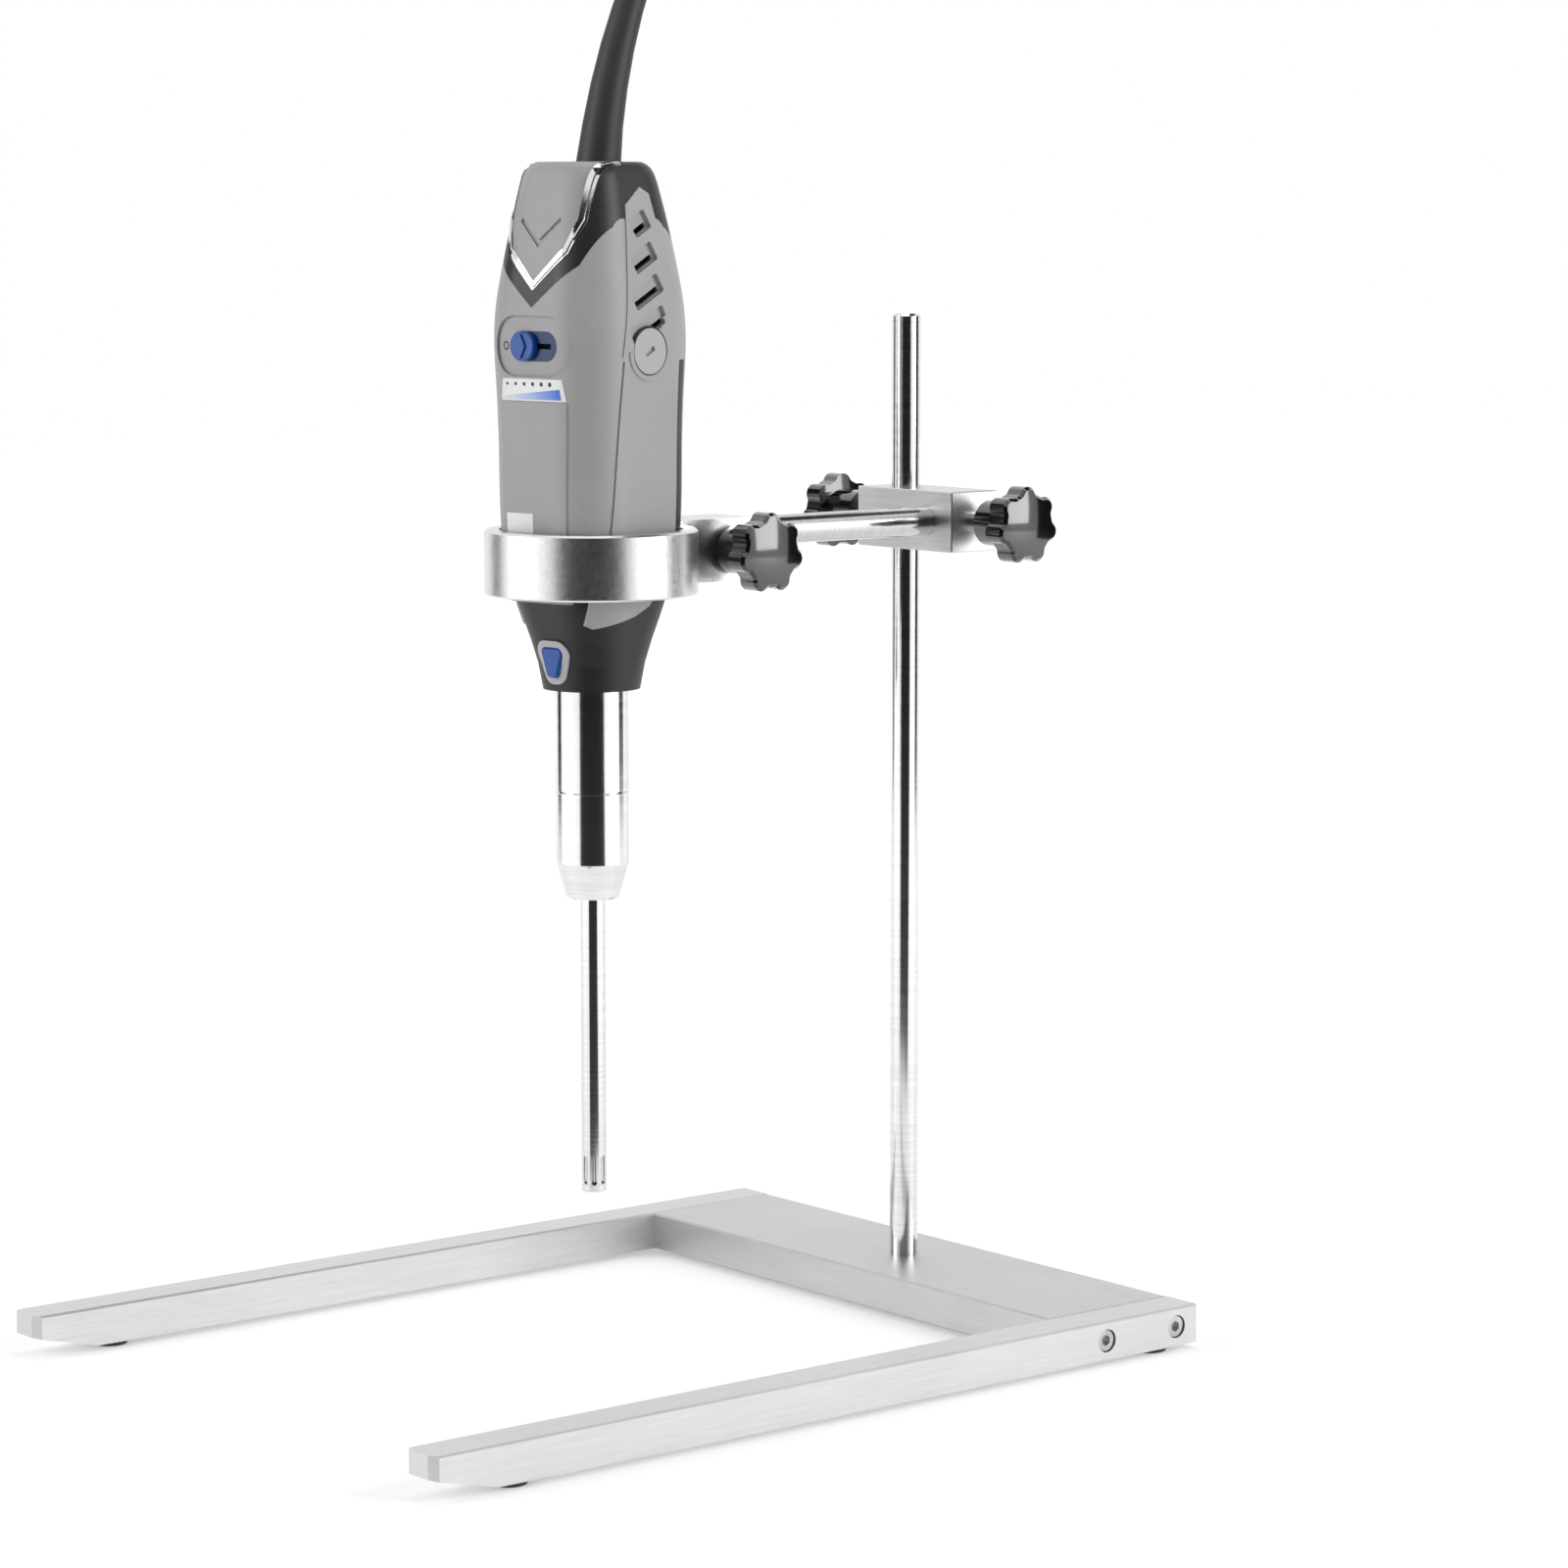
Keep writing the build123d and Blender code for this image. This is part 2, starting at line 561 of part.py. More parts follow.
# The button's pin comes up to the coupling's flank as it is pressed, 0.3 mm clear.
with BuildPart() as lock_button:
    add(button_prism(0, -22.8, -15.2))
    chamfer(lock_button.faces().sort_by(Axis.Y)[0].edges(), 0.6)
    with Locations(Location((0, -10.7, BUTTON_Z), (90, 0, 0))):
        Cylinder(1.7, 4.6, align=(Align.CENTER, Align.CENTER, Align.MIN))
save(lock_button.part, "lock_button", TOOL)

# ======================= speed slider ===================================
# Fixed slot floor with a slit for the stem, the sliding button, the speed board.
with BuildPart() as slot_floor:
    with BuildSketch(Plane.XZ.offset(30.0)):
        with Locations((1.0, SLIDE_Z)):
            SlotOverall(24, 11.6)
    extrude(amount=1.2)
    with Locations((1.2, -30.6, SLIDE_Z)):
        Box(16.4, 3, 2.1, mode=Mode.SUBTRACT)
save(slot_floor.part, "slot_floor", TOOL)

with BuildPart() as speed_slider:
    with BuildSketch(Plane.XZ.offset(31.4)):
        with Locations((-4.3, SLIDE_Z)):
            SlotOverall(13, 11.2)
    extrude(amount=2.3)
    chamfer(speed_slider.faces().sort_by(Axis.Y)[0].edges(), 0.5)
    with BuildSketch(Plane.XZ.offset(33.7)):
        with Locations((-4.3, SLIDE_Z)):
            Polygon((2.4, 0), (0, 4.7), (-2.4, 0), (0, -4.7))
    extrude(amount=0.8)
    with Locations((-4.3, -29.7, SLIDE_Z)):
        Box(4, 4.0, 1.7)
save(speed_slider.part, "speed_slider", TOOL)

with BuildPart() as speed_board:
    with Locations((0, -25.6, 401.0)):
        Box(26, 1.6, 34)
    with Locations((0, -27.0, SLIDE_Z)):
        Box(22, 1.2, 5)
    with Locations((-7, -22.8, 392)):
        Box(8, 4, 9)
    with Locations((8, -23.3, 396)):
        Box(6, 3, 11)
save(speed_board.part, "speed_board", TOOL)

# ======================= motor ==========================================
# Brushes, springs' caps and holders: one of each on either side.
def turned(x0, x1, radius, side):
    with Locations(Location((side * x0, 0, BRUSH_Z), (0, side * 90, 0))):
        Cylinder(radius, x1 - x0, align=(Align.CENTER, Align.CENTER, Align.MIN))


with BuildPart() as brush_caps:
    for side in (-1, 1):
        turned(27.2, 32.3, 8.9, side)
        turned(24.6, 27.2, 5.0, side)
        with Locations((side * 32.3, 0, BRUSH_Z)):
            Box(2.4, 5.4, 1.9, rotation=(30 * side, 0, 0), mode=Mode.SUBTRACT)
save(brush_caps.part, "brush_caps", TOOL)

with BuildPart() as brush_holders:
    for side in (-1, 1):
        with Locations((side * 17.6, 0, BRUSH_Z)):
            Box(14, 9.6, 7.6)
            Box(14, 8.0, 6.0, mode=Mode.SUBTRACT)
save(brush_holders.part, "brush_holders", TOOL)

with BuildPart() as carbon_brushes:
    for side in (-1, 1):
        with Locations((side * 14.3, 0, BRUSH_Z)):
            Box(10, 8.0, 6.0)
save(carbon_brushes.part, "carbon_brushes", TOOL)

with BuildPart() as brush_springs:
    for side in (-1, 1):
        turned(19.3, 24.6, 2.6, side)
save(brush_springs.part, "brush_springs", TOOL)

# Field stack: two pole pieces joined by a ring, with a coil on each pole.
with BuildPart() as field_stack:
    with BuildSketch(Plane.XY.offset(346)):
        Circle(24.0)
        Circle(20.4, mode=Mode.SUBTRACT)
        with PolarLocations(0, 2):
            with Locations((0, 17)):
                Rectangle(17, 9)
        Circle(13.6, mode=Mode.SUBTRACT)
    extrude(amount=36)
save(field_stack.part, "field_stack", TOOL)

with BuildPart() as field_coils:
    for side in (-1, 1):
        with Locations((0, side * 17.4, 341.6)):
            Box(24, 4.2, 4.2)
        with Locations((0, side * 17.4, 386.4)):
            Box(24, 4.2, 4.2)
        for x in (-10.3, 10.3):
            with Locations((x, side * 15.0, 364)):
                Box(3.2, 3.0, 48)
                with Locations((0, side * 1.4, -22.4)):
                    Box(3.2, 3.4, 4.2)
                with Locations((0, side * 1.4, 22.4)):
                    Box(3.2, 3.4, 4.2)
save(field_coils.part, "field_coils", TOOL)

# Armature: slotted core, end turns, commutator, shaft, fan.
with BuildPart() as armature_core:
    with BuildSketch(Plane.XY.offset(347)):
        Circle(13.1)
        with PolarLocations(11.4, 12):
            RectangleRounded(4.4, 2.2, 0.9, mode=Mode.SUBTRACT)
        Circle(4.0, mode=Mode.SUBTRACT)
    extrude(amount=34)
save(armature_core.part, "armature_core", TOOL)

with BuildPart() as armature_windings:
    for z0, z1 in ((339.5, 347), (381, 390)):
        with BuildSketch(Plane.XY.offset(z0)):
            Circle(11.6)
            Circle(4.0, mode=Mode.SUBTRACT)
        extrude(amount=z1 - z0)
    for end in (0, -1):
        rims = armature_windings.edges().filter_by(GeomType.CIRCLE).group_by(Axis.Z)[end]
        chamfer(rims.sort_by(SortBy.RADIUS)[-1], 2.0)
save(armature_windings.part, "armature_windings", TOOL)

with BuildPart() as commutator:
    with BuildSketch(Plane.XY.offset(398)):
        Circle(9.0)
        Circle(4.0, mode=Mode.SUBTRACT)
        with PolarLocations(9.0, 24):
            Rectangle(1.4, 0.5, mode=Mode.SUBTRACT)
    extrude(amount=17)
save(commutator.part, "commutator", TOOL)

with BuildPart() as motor_shaft:
    with Locations((0, 0, 290)):
        Cylinder(4.0, 141, align=(Align.CENTER, Align.CENTER, Align.MIN))
    chamfer(motor_shaft.edges().filter_by(GeomType.CIRCLE), 0.4)
save(motor_shaft.part, "motor_shaft", TOOL)

FAN_BLADES = 11
with BuildPart() as cooling_fan:
    with Locations((0, 0, 320)):
        Cylinder(22.0, 1.6, align=(Align.CENTER, Align.CENTER, Align.MIN))
        Cylinder(7.0, 9, align=(Align.CENTER, Align.CENTER, Align.MIN))
    with BuildSketch(Plane.XY.offset(321.6)):
        with PolarLocations(13.8, FAN_BLADES):
            with Locations(Location((0, 0), 24)):
                Rectangle(15, 1.2)
    extrude(amount=7)
    with Locations((0, 0, 320)):
        Cylinder(4.0, 40, mode=Mode.SUBTRACT)
save(cooling_fan.part, "cooling_fan", TOOL)

with BuildPart() as front_bearing:
    with BuildSketch(Plane.XY.offset(291.2)):
        Circle(11.0)
        Circle(4.0 + RUN, mode=Mode.SUBTRACT)
    extrude(amount=7)
save(front_bearing.part, "front_bearing", TOOL)

with BuildPart() as rear_bearing:
    with BuildSketch(Plane.XY.offset(424)):
        Circle(9.5)
        Circle(4.0 + RUN, mode=Mode.SUBTRACT)
    extrude(amount=6)
save(rear_bearing.part, "rear_bearing", TOOL)

with BuildPart() as bearing_bracket:
    with Locations((0, 0, 422)):
        Cylinder(12.5, 8, align=(Align.CENTER, Align.CENTER, Align.MIN))
        Box(48, 9, 3, align=(Align.CENTER, Align.CENTER, Align.MIN))
    with Locations((0, 0, 424)):
        Cylinder(9.5, 12, align=(Align.CENTER, Align.CENTER, Align.MIN), mode=Mode.SUBTRACT)
    with Locations((0, 0, 420)):
        Cylinder(6.0, 20, mode=Mode.SUBTRACT)
save(bearing_bracket.part, "bearing_bracket", TOOL)

# ======================= dispersing tool ================================
# Coupling nut on the spindle, two-part collar, stator tube with its windows.
with BuildPart() as drive_coupling:
    with Locations((0, 0, 262)):
        Cylinder(7.6, 28, align=(Align.CENTER, Align.CENTER, Align.MIN))
        Cylinder(2.0, 14, align=(Align.CENTER, Align.CENTER, Align.MIN), mode=Mode.SUBTRACT)
    rims = drive_coupling.edges().filter_by(GeomType.CIRCLE).group_by(Axis.Z)[0]
    chamfer(rims.sort_by(SortBy.RADIUS)[-1], 0.8)
    with Locations(Location((0, 0, BUTTON_Z), (90, 0, 0))):
        Cylinder(2.0, 30, mode=Mode.SUBTRACT)
save(drive_coupling.part, "drive_coupling", TOOL)

with BuildPart() as collar_upper:
    with BuildSketch(Plane.XY.offset(SEAM_Z)):
        Circle(COLLAR_D / 2)
    extrude(amount=NOSE_Z - SEAM_Z)
    chamfer(collar_upper.edges().filter_by(GeomType.CIRCLE), 0.5)
    with Locations((0, 0, NOSE_Z)):
        Cylinder(SPIGOT_R, SPIGOT_H, align=(Align.CENTER, Align.CENTER, Align.MIN))
    with Locations((0, 0, SEAM_Z - 1)):
        Cylinder(9.0, 80, align=(Align.CENTER, Align.CENTER, Align.MIN), mode=Mode.SUBTRACT)
        Cylinder(11.0, 9, align=(Align.CENTER, Align.CENTER, Align.MIN), mode=Mode.SUBTRACT)
save(collar_upper.part, "collar_upper", TOOL)

with BuildPart() as collar_lower:
    with BuildSketch(Plane.XZ):
        with BuildLine():
            Polyline(
                (TUBE_D / 2 - 0.4, CONE_Z0),
                (CONE_D / 2 - 0.6, CONE_Z0),
                (CONE_D / 2, CONE_Z0 + 0.6),
                (COLLAR_D / 2 - 0.4, CONE_Z1 - 0.4),
                (COLLAR_D / 2, CONE_Z1 + 0.6),
                (COLLAR_D / 2, SEAM_Z - 0.5),
                (COLLAR_D / 2 - 0.5, SEAM_Z),
                (11.0, SEAM_Z),
                (11.0, SEAM_Z + 7.6),
                (9.0, SEAM_Z + 7.6),
                (9.0, 222.0),
                (TUBE_D / 2 - 0.4, 222.0),
                close=True,
            )
        make_face()
    revolve(axis=Axis.Z)
save(collar_lower.part, "collar_lower", TOOL)

WINDOWS = 8
with BuildPart() as stator_tube:
    with BuildSketch(Plane.XY.offset(TUBE_END)):
        Circle(TUBE_D / 2)
        Circle(TUBE_BORE / 2, mode=Mode.SUBTRACT)
    extrude(amount=CONE_Z0 - TUBE_END)
    with BuildSketch(Plane.XY.offset(CONE_Z0)):
        Circle(TUBE_D / 2 - 0.4)
        Circle(TUBE_BORE / 2, mode=Mode.SUBTRACT)
    extrude(amount=222.0 - CONE_Z0)
    rims = stator_tube.edges().filter_by(GeomType.CIRCLE).group_by(Axis.Z)[0]
    chamfer(rims.sort_by(SortBy.RADIUS)[-1], 0.3)
    for i in range(WINDOWS):
        spoke = Plane.XZ.rotated((0, 0, 360 / WINDOWS * i)).offset(2.0)
        with BuildSketch(spoke):
            with Locations((0, (WINDOW_Z0 + WINDOW_Z1) / 2)):
                SlotOverall(WINDOW_Z1 - WINDOW_Z0, 2.0, rotation=90)
        extrude(amount=8, mode=Mode.SUBTRACT)
save(stator_tube.part, "stator_tube", TOOL)

with BuildPart() as tube_bushes:
    for z in (96.0, 168.0, 212.0):
        with BuildSketch(Plane.XY.offset(z)):
            Circle(TUBE_BORE / 2)
            Circle(2.0 + RUN, mode=Mode.SUBTRACT)
        extrude(amount=8)
save(tube_bushes.part, "tube_bushes", TOOL)

with BuildPart() as drive_shaft:
    with Locations((0, 0, 90)):
        Cylinder(2.0, 184, align=(Align.CENTER, Align.CENTER, Align.MIN))
save(drive_shaft.part, "drive_shaft", TOOL)

# Rotor: four knife blades on a hub, running just inside the windows.
with BuildPart() as rotor:
    with BuildSketch(Plane.XY.offset(75.0)):
        Circle(2.2)
        with PolarLocations(2.4, 4):
            Rectangle(2.8, 1.3)
        with BuildSketch(mode=Mode.PRIVATE) as reach:
            Circle(3.75)
        add(reach.sketch, mode=Mode.INTERSECT)
    extrude(amount=15)
save(rotor.part, "rotor", TOOL)

# ======================= cord ===========================================
# The moulded boot leans back from the rear cap; the lead arches over behind the
# unit and its spare length hangs there, wound in an oval hank with a strap.
CORD_D = 6.5
BOOT_R = 224.0
BOOT_LEN = 95.0
BOOT_SECTIONS = 7
VIEW = Plane(origin=(ARM_X, RING_Y, 0), x_dir=(-0.775, 0.632, 0), z_dir=(0, 0, 1))


def boot_frame(along):
    """Plane square to the boot's centreline at a distance along it, in the tool's frame."""
    turn = radians(BOOT_TILT) + along / BOOT_R
    start = radians(BOOT_TILT)
    return Plane(
        origin=(0, 5 + BOOT_R * (cos(start) - cos(turn)), BOOT_BASE_Z + BOOT_R * (sin(turn) - sin(start))),
        x_dir=(1, 0, 0),
        z_dir=(0, sin(turn), cos(turn)),
    )


with BuildPart() as cord_boot:
    for i in range(BOOT_SECTIONS):
        share = i / (BOOT_SECTIONS - 1)
        with BuildSketch(boot_frame(BOOT_LEN * share)):
            Circle(BOOT_BASE_R - 3.75 * share ** 0.8)
    loft(ruled=True)
    with BuildSketch(boot_frame(0)):
        Circle(6.9)
    extrude(amount=-6)
save(cord_boot.part, "cord_boot", TOOL)

tip = boot_frame(BOOT_LEN)
boot_end = TOOL.from_local_coords(tip.origin)
boot_out = TOOL.from_local_coords(tip.origin + tip.z_dir) - boot_end
CORD_ROUTE = (
    (82.0, -35.0, 616.0),
    (119.0, -26.0, 605.0),
    (134.0, -15.5, 567.0),
    (128.0, -4.5, 517.0),
    (113.0, 1.0, 472.0),
    (107.0, 3.0, 443.0),
    (106.0, 4.0, 427.0),
)
cord_points = [boot_end, boot_end + boot_out * 39.0]
cord_points += [VIEW.from_local_coords(Vector(*p)) for p in CORD_ROUTE]
bends = []
for before, here, after in zip(cord_points, cord_points[1:], cord_points[2:]):
    half_turn = radians((here - before).get_angle(after - here)) / 2
    bends.append(0.45 * min((here - before).length, (after - here).length) / tan(half_turn))
print("cord bend radii", [round(r, 1) for r in bends])

HANK_H, HANK_W, HANK_T = 125.0, 60.0, 18.0
HANK_TOP = 427.0
HANK = Plane(
    origin=VIEW.from_local_coords(Vector(106.0, 4.0, HANK_TOP - HANK_H / 2)),
    x_dir=(0.632, 0.775, 0),
    z_dir=(-0.775, 0.632, 0),
)
PLUG_TOP = HANK_TOP - HANK_H - 12.0
with BuildPart() as power_cord:
    with BuildLine() as lead:
        FilletPolyline(*cord_points, radius=bends)
    with BuildSketch(Plane(origin=boot_end, z_dir=boot_out)):
        Circle(CORD_D / 2)
    sweep(path=lead.line)
    with BuildSketch(Plane(origin=HANK.origin + Vector(0, 0, -HANK_H / 2))):
        Circle(CORD_D / 2)
    extrude(amount=-12)
drawn = sum(edge.length for edge in lead.line.edges()) + 12
by_volume = power_cord.part.volume / (pi * CORD_D**2 / 4)
print("cord", round(by_volume, 1), "mm by volume,", round(drawn, 1), "mm drawn")
save(power_cord.part, "power_cord")

# The wound spare length: an oval hank with rounded strands' outline.
with BuildPart() as cord_hank:
    with BuildSketch(HANK.offset(-HANK_T / 2)):
        SlotOverall(HANK_H, HANK_W, rotation=90)
        SlotOverall(HANK_H - 30, HANK_W - 30, rotation=90, mode=Mode.SUBTRACT)
    extrude(amount=HANK_T)
    chamfer(cord_hank.edges(), 3.2)
save(cord_hank.part, "cord_hank")

with BuildPart() as hank_tie:
    with Locations(HANK.location):
        Box(HANK_W + 2.4, 16, HANK_T + 2.4)
        Box(HANK_W + 0.02, 20, HANK_T + 0.02, mode=Mode.SUBTRACT)
save(hank_tie.part, "hank_tie")

# Flat two-pin plug, edge on, hanging from the end of the hank.
with BuildPart() as mains_plug:
    plug_at = HANK.origin + Vector(0, 0, PLUG_TOP - HANK.origin.Z)
    plug = Plane(origin=plug_at, x_dir=(-0.775, 0.632, 0), z_dir=(0, 0, -1))
    with BuildSketch(plug):
        Circle(5.0)
    with BuildSketch(plug.offset(12)):
        RectangleRounded(22, 13.6, 6.0)
    with BuildSketch(plug.offset(36)):
        RectangleRounded(35, 13.6, 6.0)
    loft(ruled=True)
    with BuildSketch(plug.offset(36)):
        RectangleRounded(35, 13.6, 6.0)
    extrude(amount=3)
    with BuildSketch(plug.offset(39)):
        with GridLocations(18.6, 1, 2, 1):
            Circle(2.4)
    extrude(amount=19)
save(mains_plug.part, "mains_plug")
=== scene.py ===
import math

import bmesh
import bpy
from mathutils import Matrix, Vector
from mathutils.bvhtree import BVHTree


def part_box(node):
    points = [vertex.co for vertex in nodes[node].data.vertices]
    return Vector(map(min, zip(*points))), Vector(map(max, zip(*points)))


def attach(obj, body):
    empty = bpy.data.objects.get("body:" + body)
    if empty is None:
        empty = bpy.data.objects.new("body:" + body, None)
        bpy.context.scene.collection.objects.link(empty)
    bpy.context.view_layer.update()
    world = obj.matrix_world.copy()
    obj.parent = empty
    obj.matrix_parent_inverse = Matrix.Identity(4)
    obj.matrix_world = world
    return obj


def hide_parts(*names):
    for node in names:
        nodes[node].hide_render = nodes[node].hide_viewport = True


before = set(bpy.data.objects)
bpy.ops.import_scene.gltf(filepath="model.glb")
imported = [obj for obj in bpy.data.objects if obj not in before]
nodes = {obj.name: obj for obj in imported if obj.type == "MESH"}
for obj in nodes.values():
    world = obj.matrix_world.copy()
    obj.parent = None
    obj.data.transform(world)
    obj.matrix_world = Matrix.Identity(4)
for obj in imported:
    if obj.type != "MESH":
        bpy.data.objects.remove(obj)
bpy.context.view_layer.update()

# ---- Camera -----------------------------------------------------------------
# A long lens 1.9 m from the stand and 0.47 m above the bench, looking down seven
# degrees at the stand's front right corner.
CAMERA_AT = (1.5352, -1.1586, 0.4718)
LOOK_DOWN = 7.099
LOOK_ROUND = 50.8
lens = bpy.data.cameras.new("camera")
lens.sensor_width = 36.0
lens.lens = 110.69
lens.clip_start = 0.05
lens.clip_end = 30.0
camera = bpy.data.objects.new("camera", lens)
camera.location = CAMERA_AT
camera.rotation_euler = (math.radians(90.0 - LOOK_DOWN), 0.0, math.radians(LOOK_ROUND))
bpy.context.scene.collection.objects.link(camera)
bpy.context.scene.camera = camera
bpy.context.scene.view_settings.view_transform = "Standard"

# ---- Mains lead -------------------------------------------------------------
# Round PVC-sheathed lead, 6.5 mm across. It leaves the boot, arches over behind the
# motor unit and its spare length hangs there as a tied hank of four turns.
# The sheath is extruded and slightly satin, with faint drag lines along it.


def linear(hex_value):
    """An sRGB hex colour as the linear RGBA that a shader socket takes."""
    parts = [int(hex_value[i : i + 2], 16) / 255 for i in (1, 3, 5)]
    return [c / 12.92 if c <= 0.04045 else ((c + 0.055) / 1.055) ** 2.4 for c in parts] + [1.0]


def add_node(tree, kind, settings=None, **links):
    """A node with its settings by socket or attribute name, and links by socket name."""
    made = tree.nodes.new(kind)
    for name, value in (settings or {}).items():
        if name in made.inputs:
            made.inputs[name].default_value = value
        else:
            setattr(made, name, value)
    for name, source in links.items():
        socket = made.inputs[int(name[1:])] if name[0] == "_" else made.inputs[name.replace("_", " ")]
        tree.links.new(source, socket)
    return made


def new_material(name):
    """An empty material with only its output node."""
    made = bpy.data.materials.new(name)
    made.use_nodes = True
    made.node_tree.nodes.clear()
    add_node(made.node_tree, "ShaderNodeOutputMaterial")
    return made, made.node_tree


def finish_material(tree, shader):
    output = next(n for n in tree.nodes if n.type == "OUTPUT_MATERIAL")
    tree.links.new(shader.outputs[0], output.inputs["Surface"])


def wear(piece_names, material):
    """Gives CAD nodes this material in every slot."""
    for name in piece_names:
        piece = nodes[name]
        for slot in piece.material_slots:
            slot.material = material


TOOL_AT = Vector((0.027, -0.026, 0.0))
TOOL_TURN = math.radians(9.0)
CORD_D = 0.0065
BEHIND = Vector((-0.775, 0.632, 0.0))
ACROSS = Vector((0.632, 0.775, 0.0))


def on_tool(x, y, z):
    """A point given in the motor unit's own frame, millimetres to metres."""
    c, s = math.cos(TOOL_TURN), math.sin(TOOL_TURN)
    return TOOL_AT + Vector((c * x - s * y, s * x + c * y, z)) / 1000.0


def behind_tool(back, side, z):
    """A point so far behind the motor unit and so far to its side."""
    return TOOL_AT + (BEHIND * back + ACROSS * side + Vector((0, 0, z))) / 1000.0


# From its seat in the rear cap, 5 mm behind the axis, the boot leans back 7.5 degrees
# and bends on a 224 mm arc for 95 mm. The lead's next point lies 39 mm further on.
boot_radius, boot_start, boot_long = 224.0, math.radians(7.5), 95.0
boot_back, boot_foot_z = 5.0, 478.5
lead_out = 0.039
boot_turn = boot_start + boot_long / boot_radius
boot_tip = on_tool(
    0.0,
    boot_back + boot_radius * (math.cos(boot_start) - math.cos(boot_turn)),
    boot_foot_z + boot_radius * (math.sin(boot_turn) - math.sin(boot_start)),
)
boot_out = on_tool(0.0, math.sin(boot_turn) * 1000, math.cos(boot_turn) * 1000) - TOOL_AT
route = [boot_tip, boot_tip + boot_out * lead_out]
route += [
    behind_tool(*p)
    for p in (
        (82.0, 35.0, 616.0),
        (119.0, 26.0, 605.0),
        (134.0, 15.5, 567.0),
        (128.0, 4.5, 517.0),
        (113.0, -1.0, 472.0),
        (107.0, -3.0, 443.0),
        (106.0, -4.0, 427.0),
    )
]
# Four turns fill the two outer layers of the hank. The lead comes in and goes out
# through the middle layer, which the folds leave free.
HANK_MID = (106.0, -4.0, 364.5)
HANK_STRAIGHT = 32.5
HANK_R = 24.2
TURNS = ((-3.25, -6.4), (3.25, -6.4), (3.25, 6.4), (-3.25, 6.4))
FOLD = [math.radians(a) for a in (30, 60, 90, 120, 150)]
hank = [(1.5, 50.0, 0.0), (8.5, 34.0, 0.0), (17.0, 18.0, 0.0), (22.5, 4.0, -2.0)]
for out, back in TURNS:
    r = HANK_R + out
    hank += [(r, -0.35 * HANK_STRAIGHT, back), (r, -HANK_STRAIGHT, back)]
    hank += [(r * math.cos(a), -HANK_STRAIGHT - r * math.sin(a), back) for a in FOLD]
    hank += [(-r, HANK_STRAIGHT * k, back) for k in (-1, -0.33, 0.33, 1)]
    hank += [(r * math.cos(a), HANK_STRAIGHT + r * math.sin(a), back) for a in reversed(FOLD)]
    hank += [(r, HANK_STRAIGHT, back), (r, 0.5 * HANK_STRAIGHT, back)]
hank += [(23.0, 3.0, 3.2), (22.0, -10.0, 0.0), (17.0, -24.0, 0.0), (8.5, -39.0, 0.0), (1.5, -53.0, 0.0)]
hank += [(0.0, -63.0, 0.0), (0.0, -72.5, 0.0)]
route += [behind_tool(HANK_MID[0] + back, HANK_MID[1] + x, HANK_MID[2] + z) for x, z, back in hank]

curve = bpy.data.curves.new("mains_lead", "CURVE")
curve.dimensions = "3D"
curve.bevel_depth = CORD_D / 2
curve.bevel_resolution = 5
curve.resolution_u = 6
spline = curve.splines.new("NURBS")
spline.points.add(len(route) - 1)
for point, place in zip(spline.points, route):
    point.co = (*place, 1.0)
spline.order_u = 3
spline.use_endpoint_u = True
lead = bpy.data.objects.new("mains_lead", curve)
bpy.context.scene.collection.objects.link(lead)

lead_pvc, tree = new_material("extruded black PVC sheath")
place = add_node(tree, "ShaderNodeTexCoord")
grime = add_node(tree, "ShaderNodeTexNoise", {"Scale": 260.0, "Detail": 4.0}, Vector=place.outputs["Object"])
shade = add_node(tree, "ShaderNodeValToRGB", None, Fac=grime.outputs["Fac"])
shade.color_ramp.elements[0].color = linear("#0b0b0b")
shade.color_ramp.elements[1].color = linear("#161616")
rough = add_node(tree, "ShaderNodeMapRange", {"To Min": 0.36, "To Max": 0.52}, Value=grime.outputs["Fac"])
bump = add_node(tree, "ShaderNodeBump", {"Strength": 0.15, "Distance": 0.0002}, Height=grime.outputs["Fac"])
finish_material(
    tree,
    add_node(
        tree,
        "ShaderNodeBsdfPrincipled",
        {"IOR": 1.53},
        Base_Color=shade.outputs[0],
        Roughness=rough.outputs[0],
        Normal=bump.outputs[0],
    ),
)
curve.materials.append(lead_pvc)
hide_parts("power_cord", "cord_hank")
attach(lead, "tool")

# ---- Cord boot --------------------------------------------------------------
# Tapered strain relief moulded onto the lead, in a soft black rubber.
# It is matt, with a fine moulded grain and slightly paler where it has been handled.
boot_rubber, tree = new_material("moulded black TPE rubber")
place = add_node(tree, "ShaderNodeTexCoord")
grain = add_node(tree, "ShaderNodeTexNoise", {"Scale": 2600.0, "Detail": 3.0}, Vector=place.outputs["Object"])
cloud = add_node(tree, "ShaderNodeTexNoise", {"Scale": 70.0, "Detail": 4.0}, Vector=place.outputs["Object"])
shade = add_node(tree, "ShaderNodeValToRGB", None, Fac=cloud.outputs["Fac"])
shade.color_ramp.elements[0].color = linear("#1c1c1d")
shade.color_ramp.elements[1].color = linear("#2b2b2c")
rough = add_node(tree, "ShaderNodeMapRange", {"To Min": 0.42, "To Max": 0.62}, Value=cloud.outputs["Fac"])
bump = add_node(tree, "ShaderNodeBump", {"Strength": 0.35, "Distance": 0.00012}, Height=grain.outputs["Fac"])
finish_material(
    tree,
    add_node(
        tree,
        "ShaderNodeBsdfPrincipled",
        {"IOR": 1.5},
        Base_Color=shade.outputs[0],
        Roughness=rough.outputs[0],
        Normal=bump.outputs[0],
    ),
)
wear(["cord_boot", "hank_tie", "base_feet", "ring_liner"], boot_rubber)

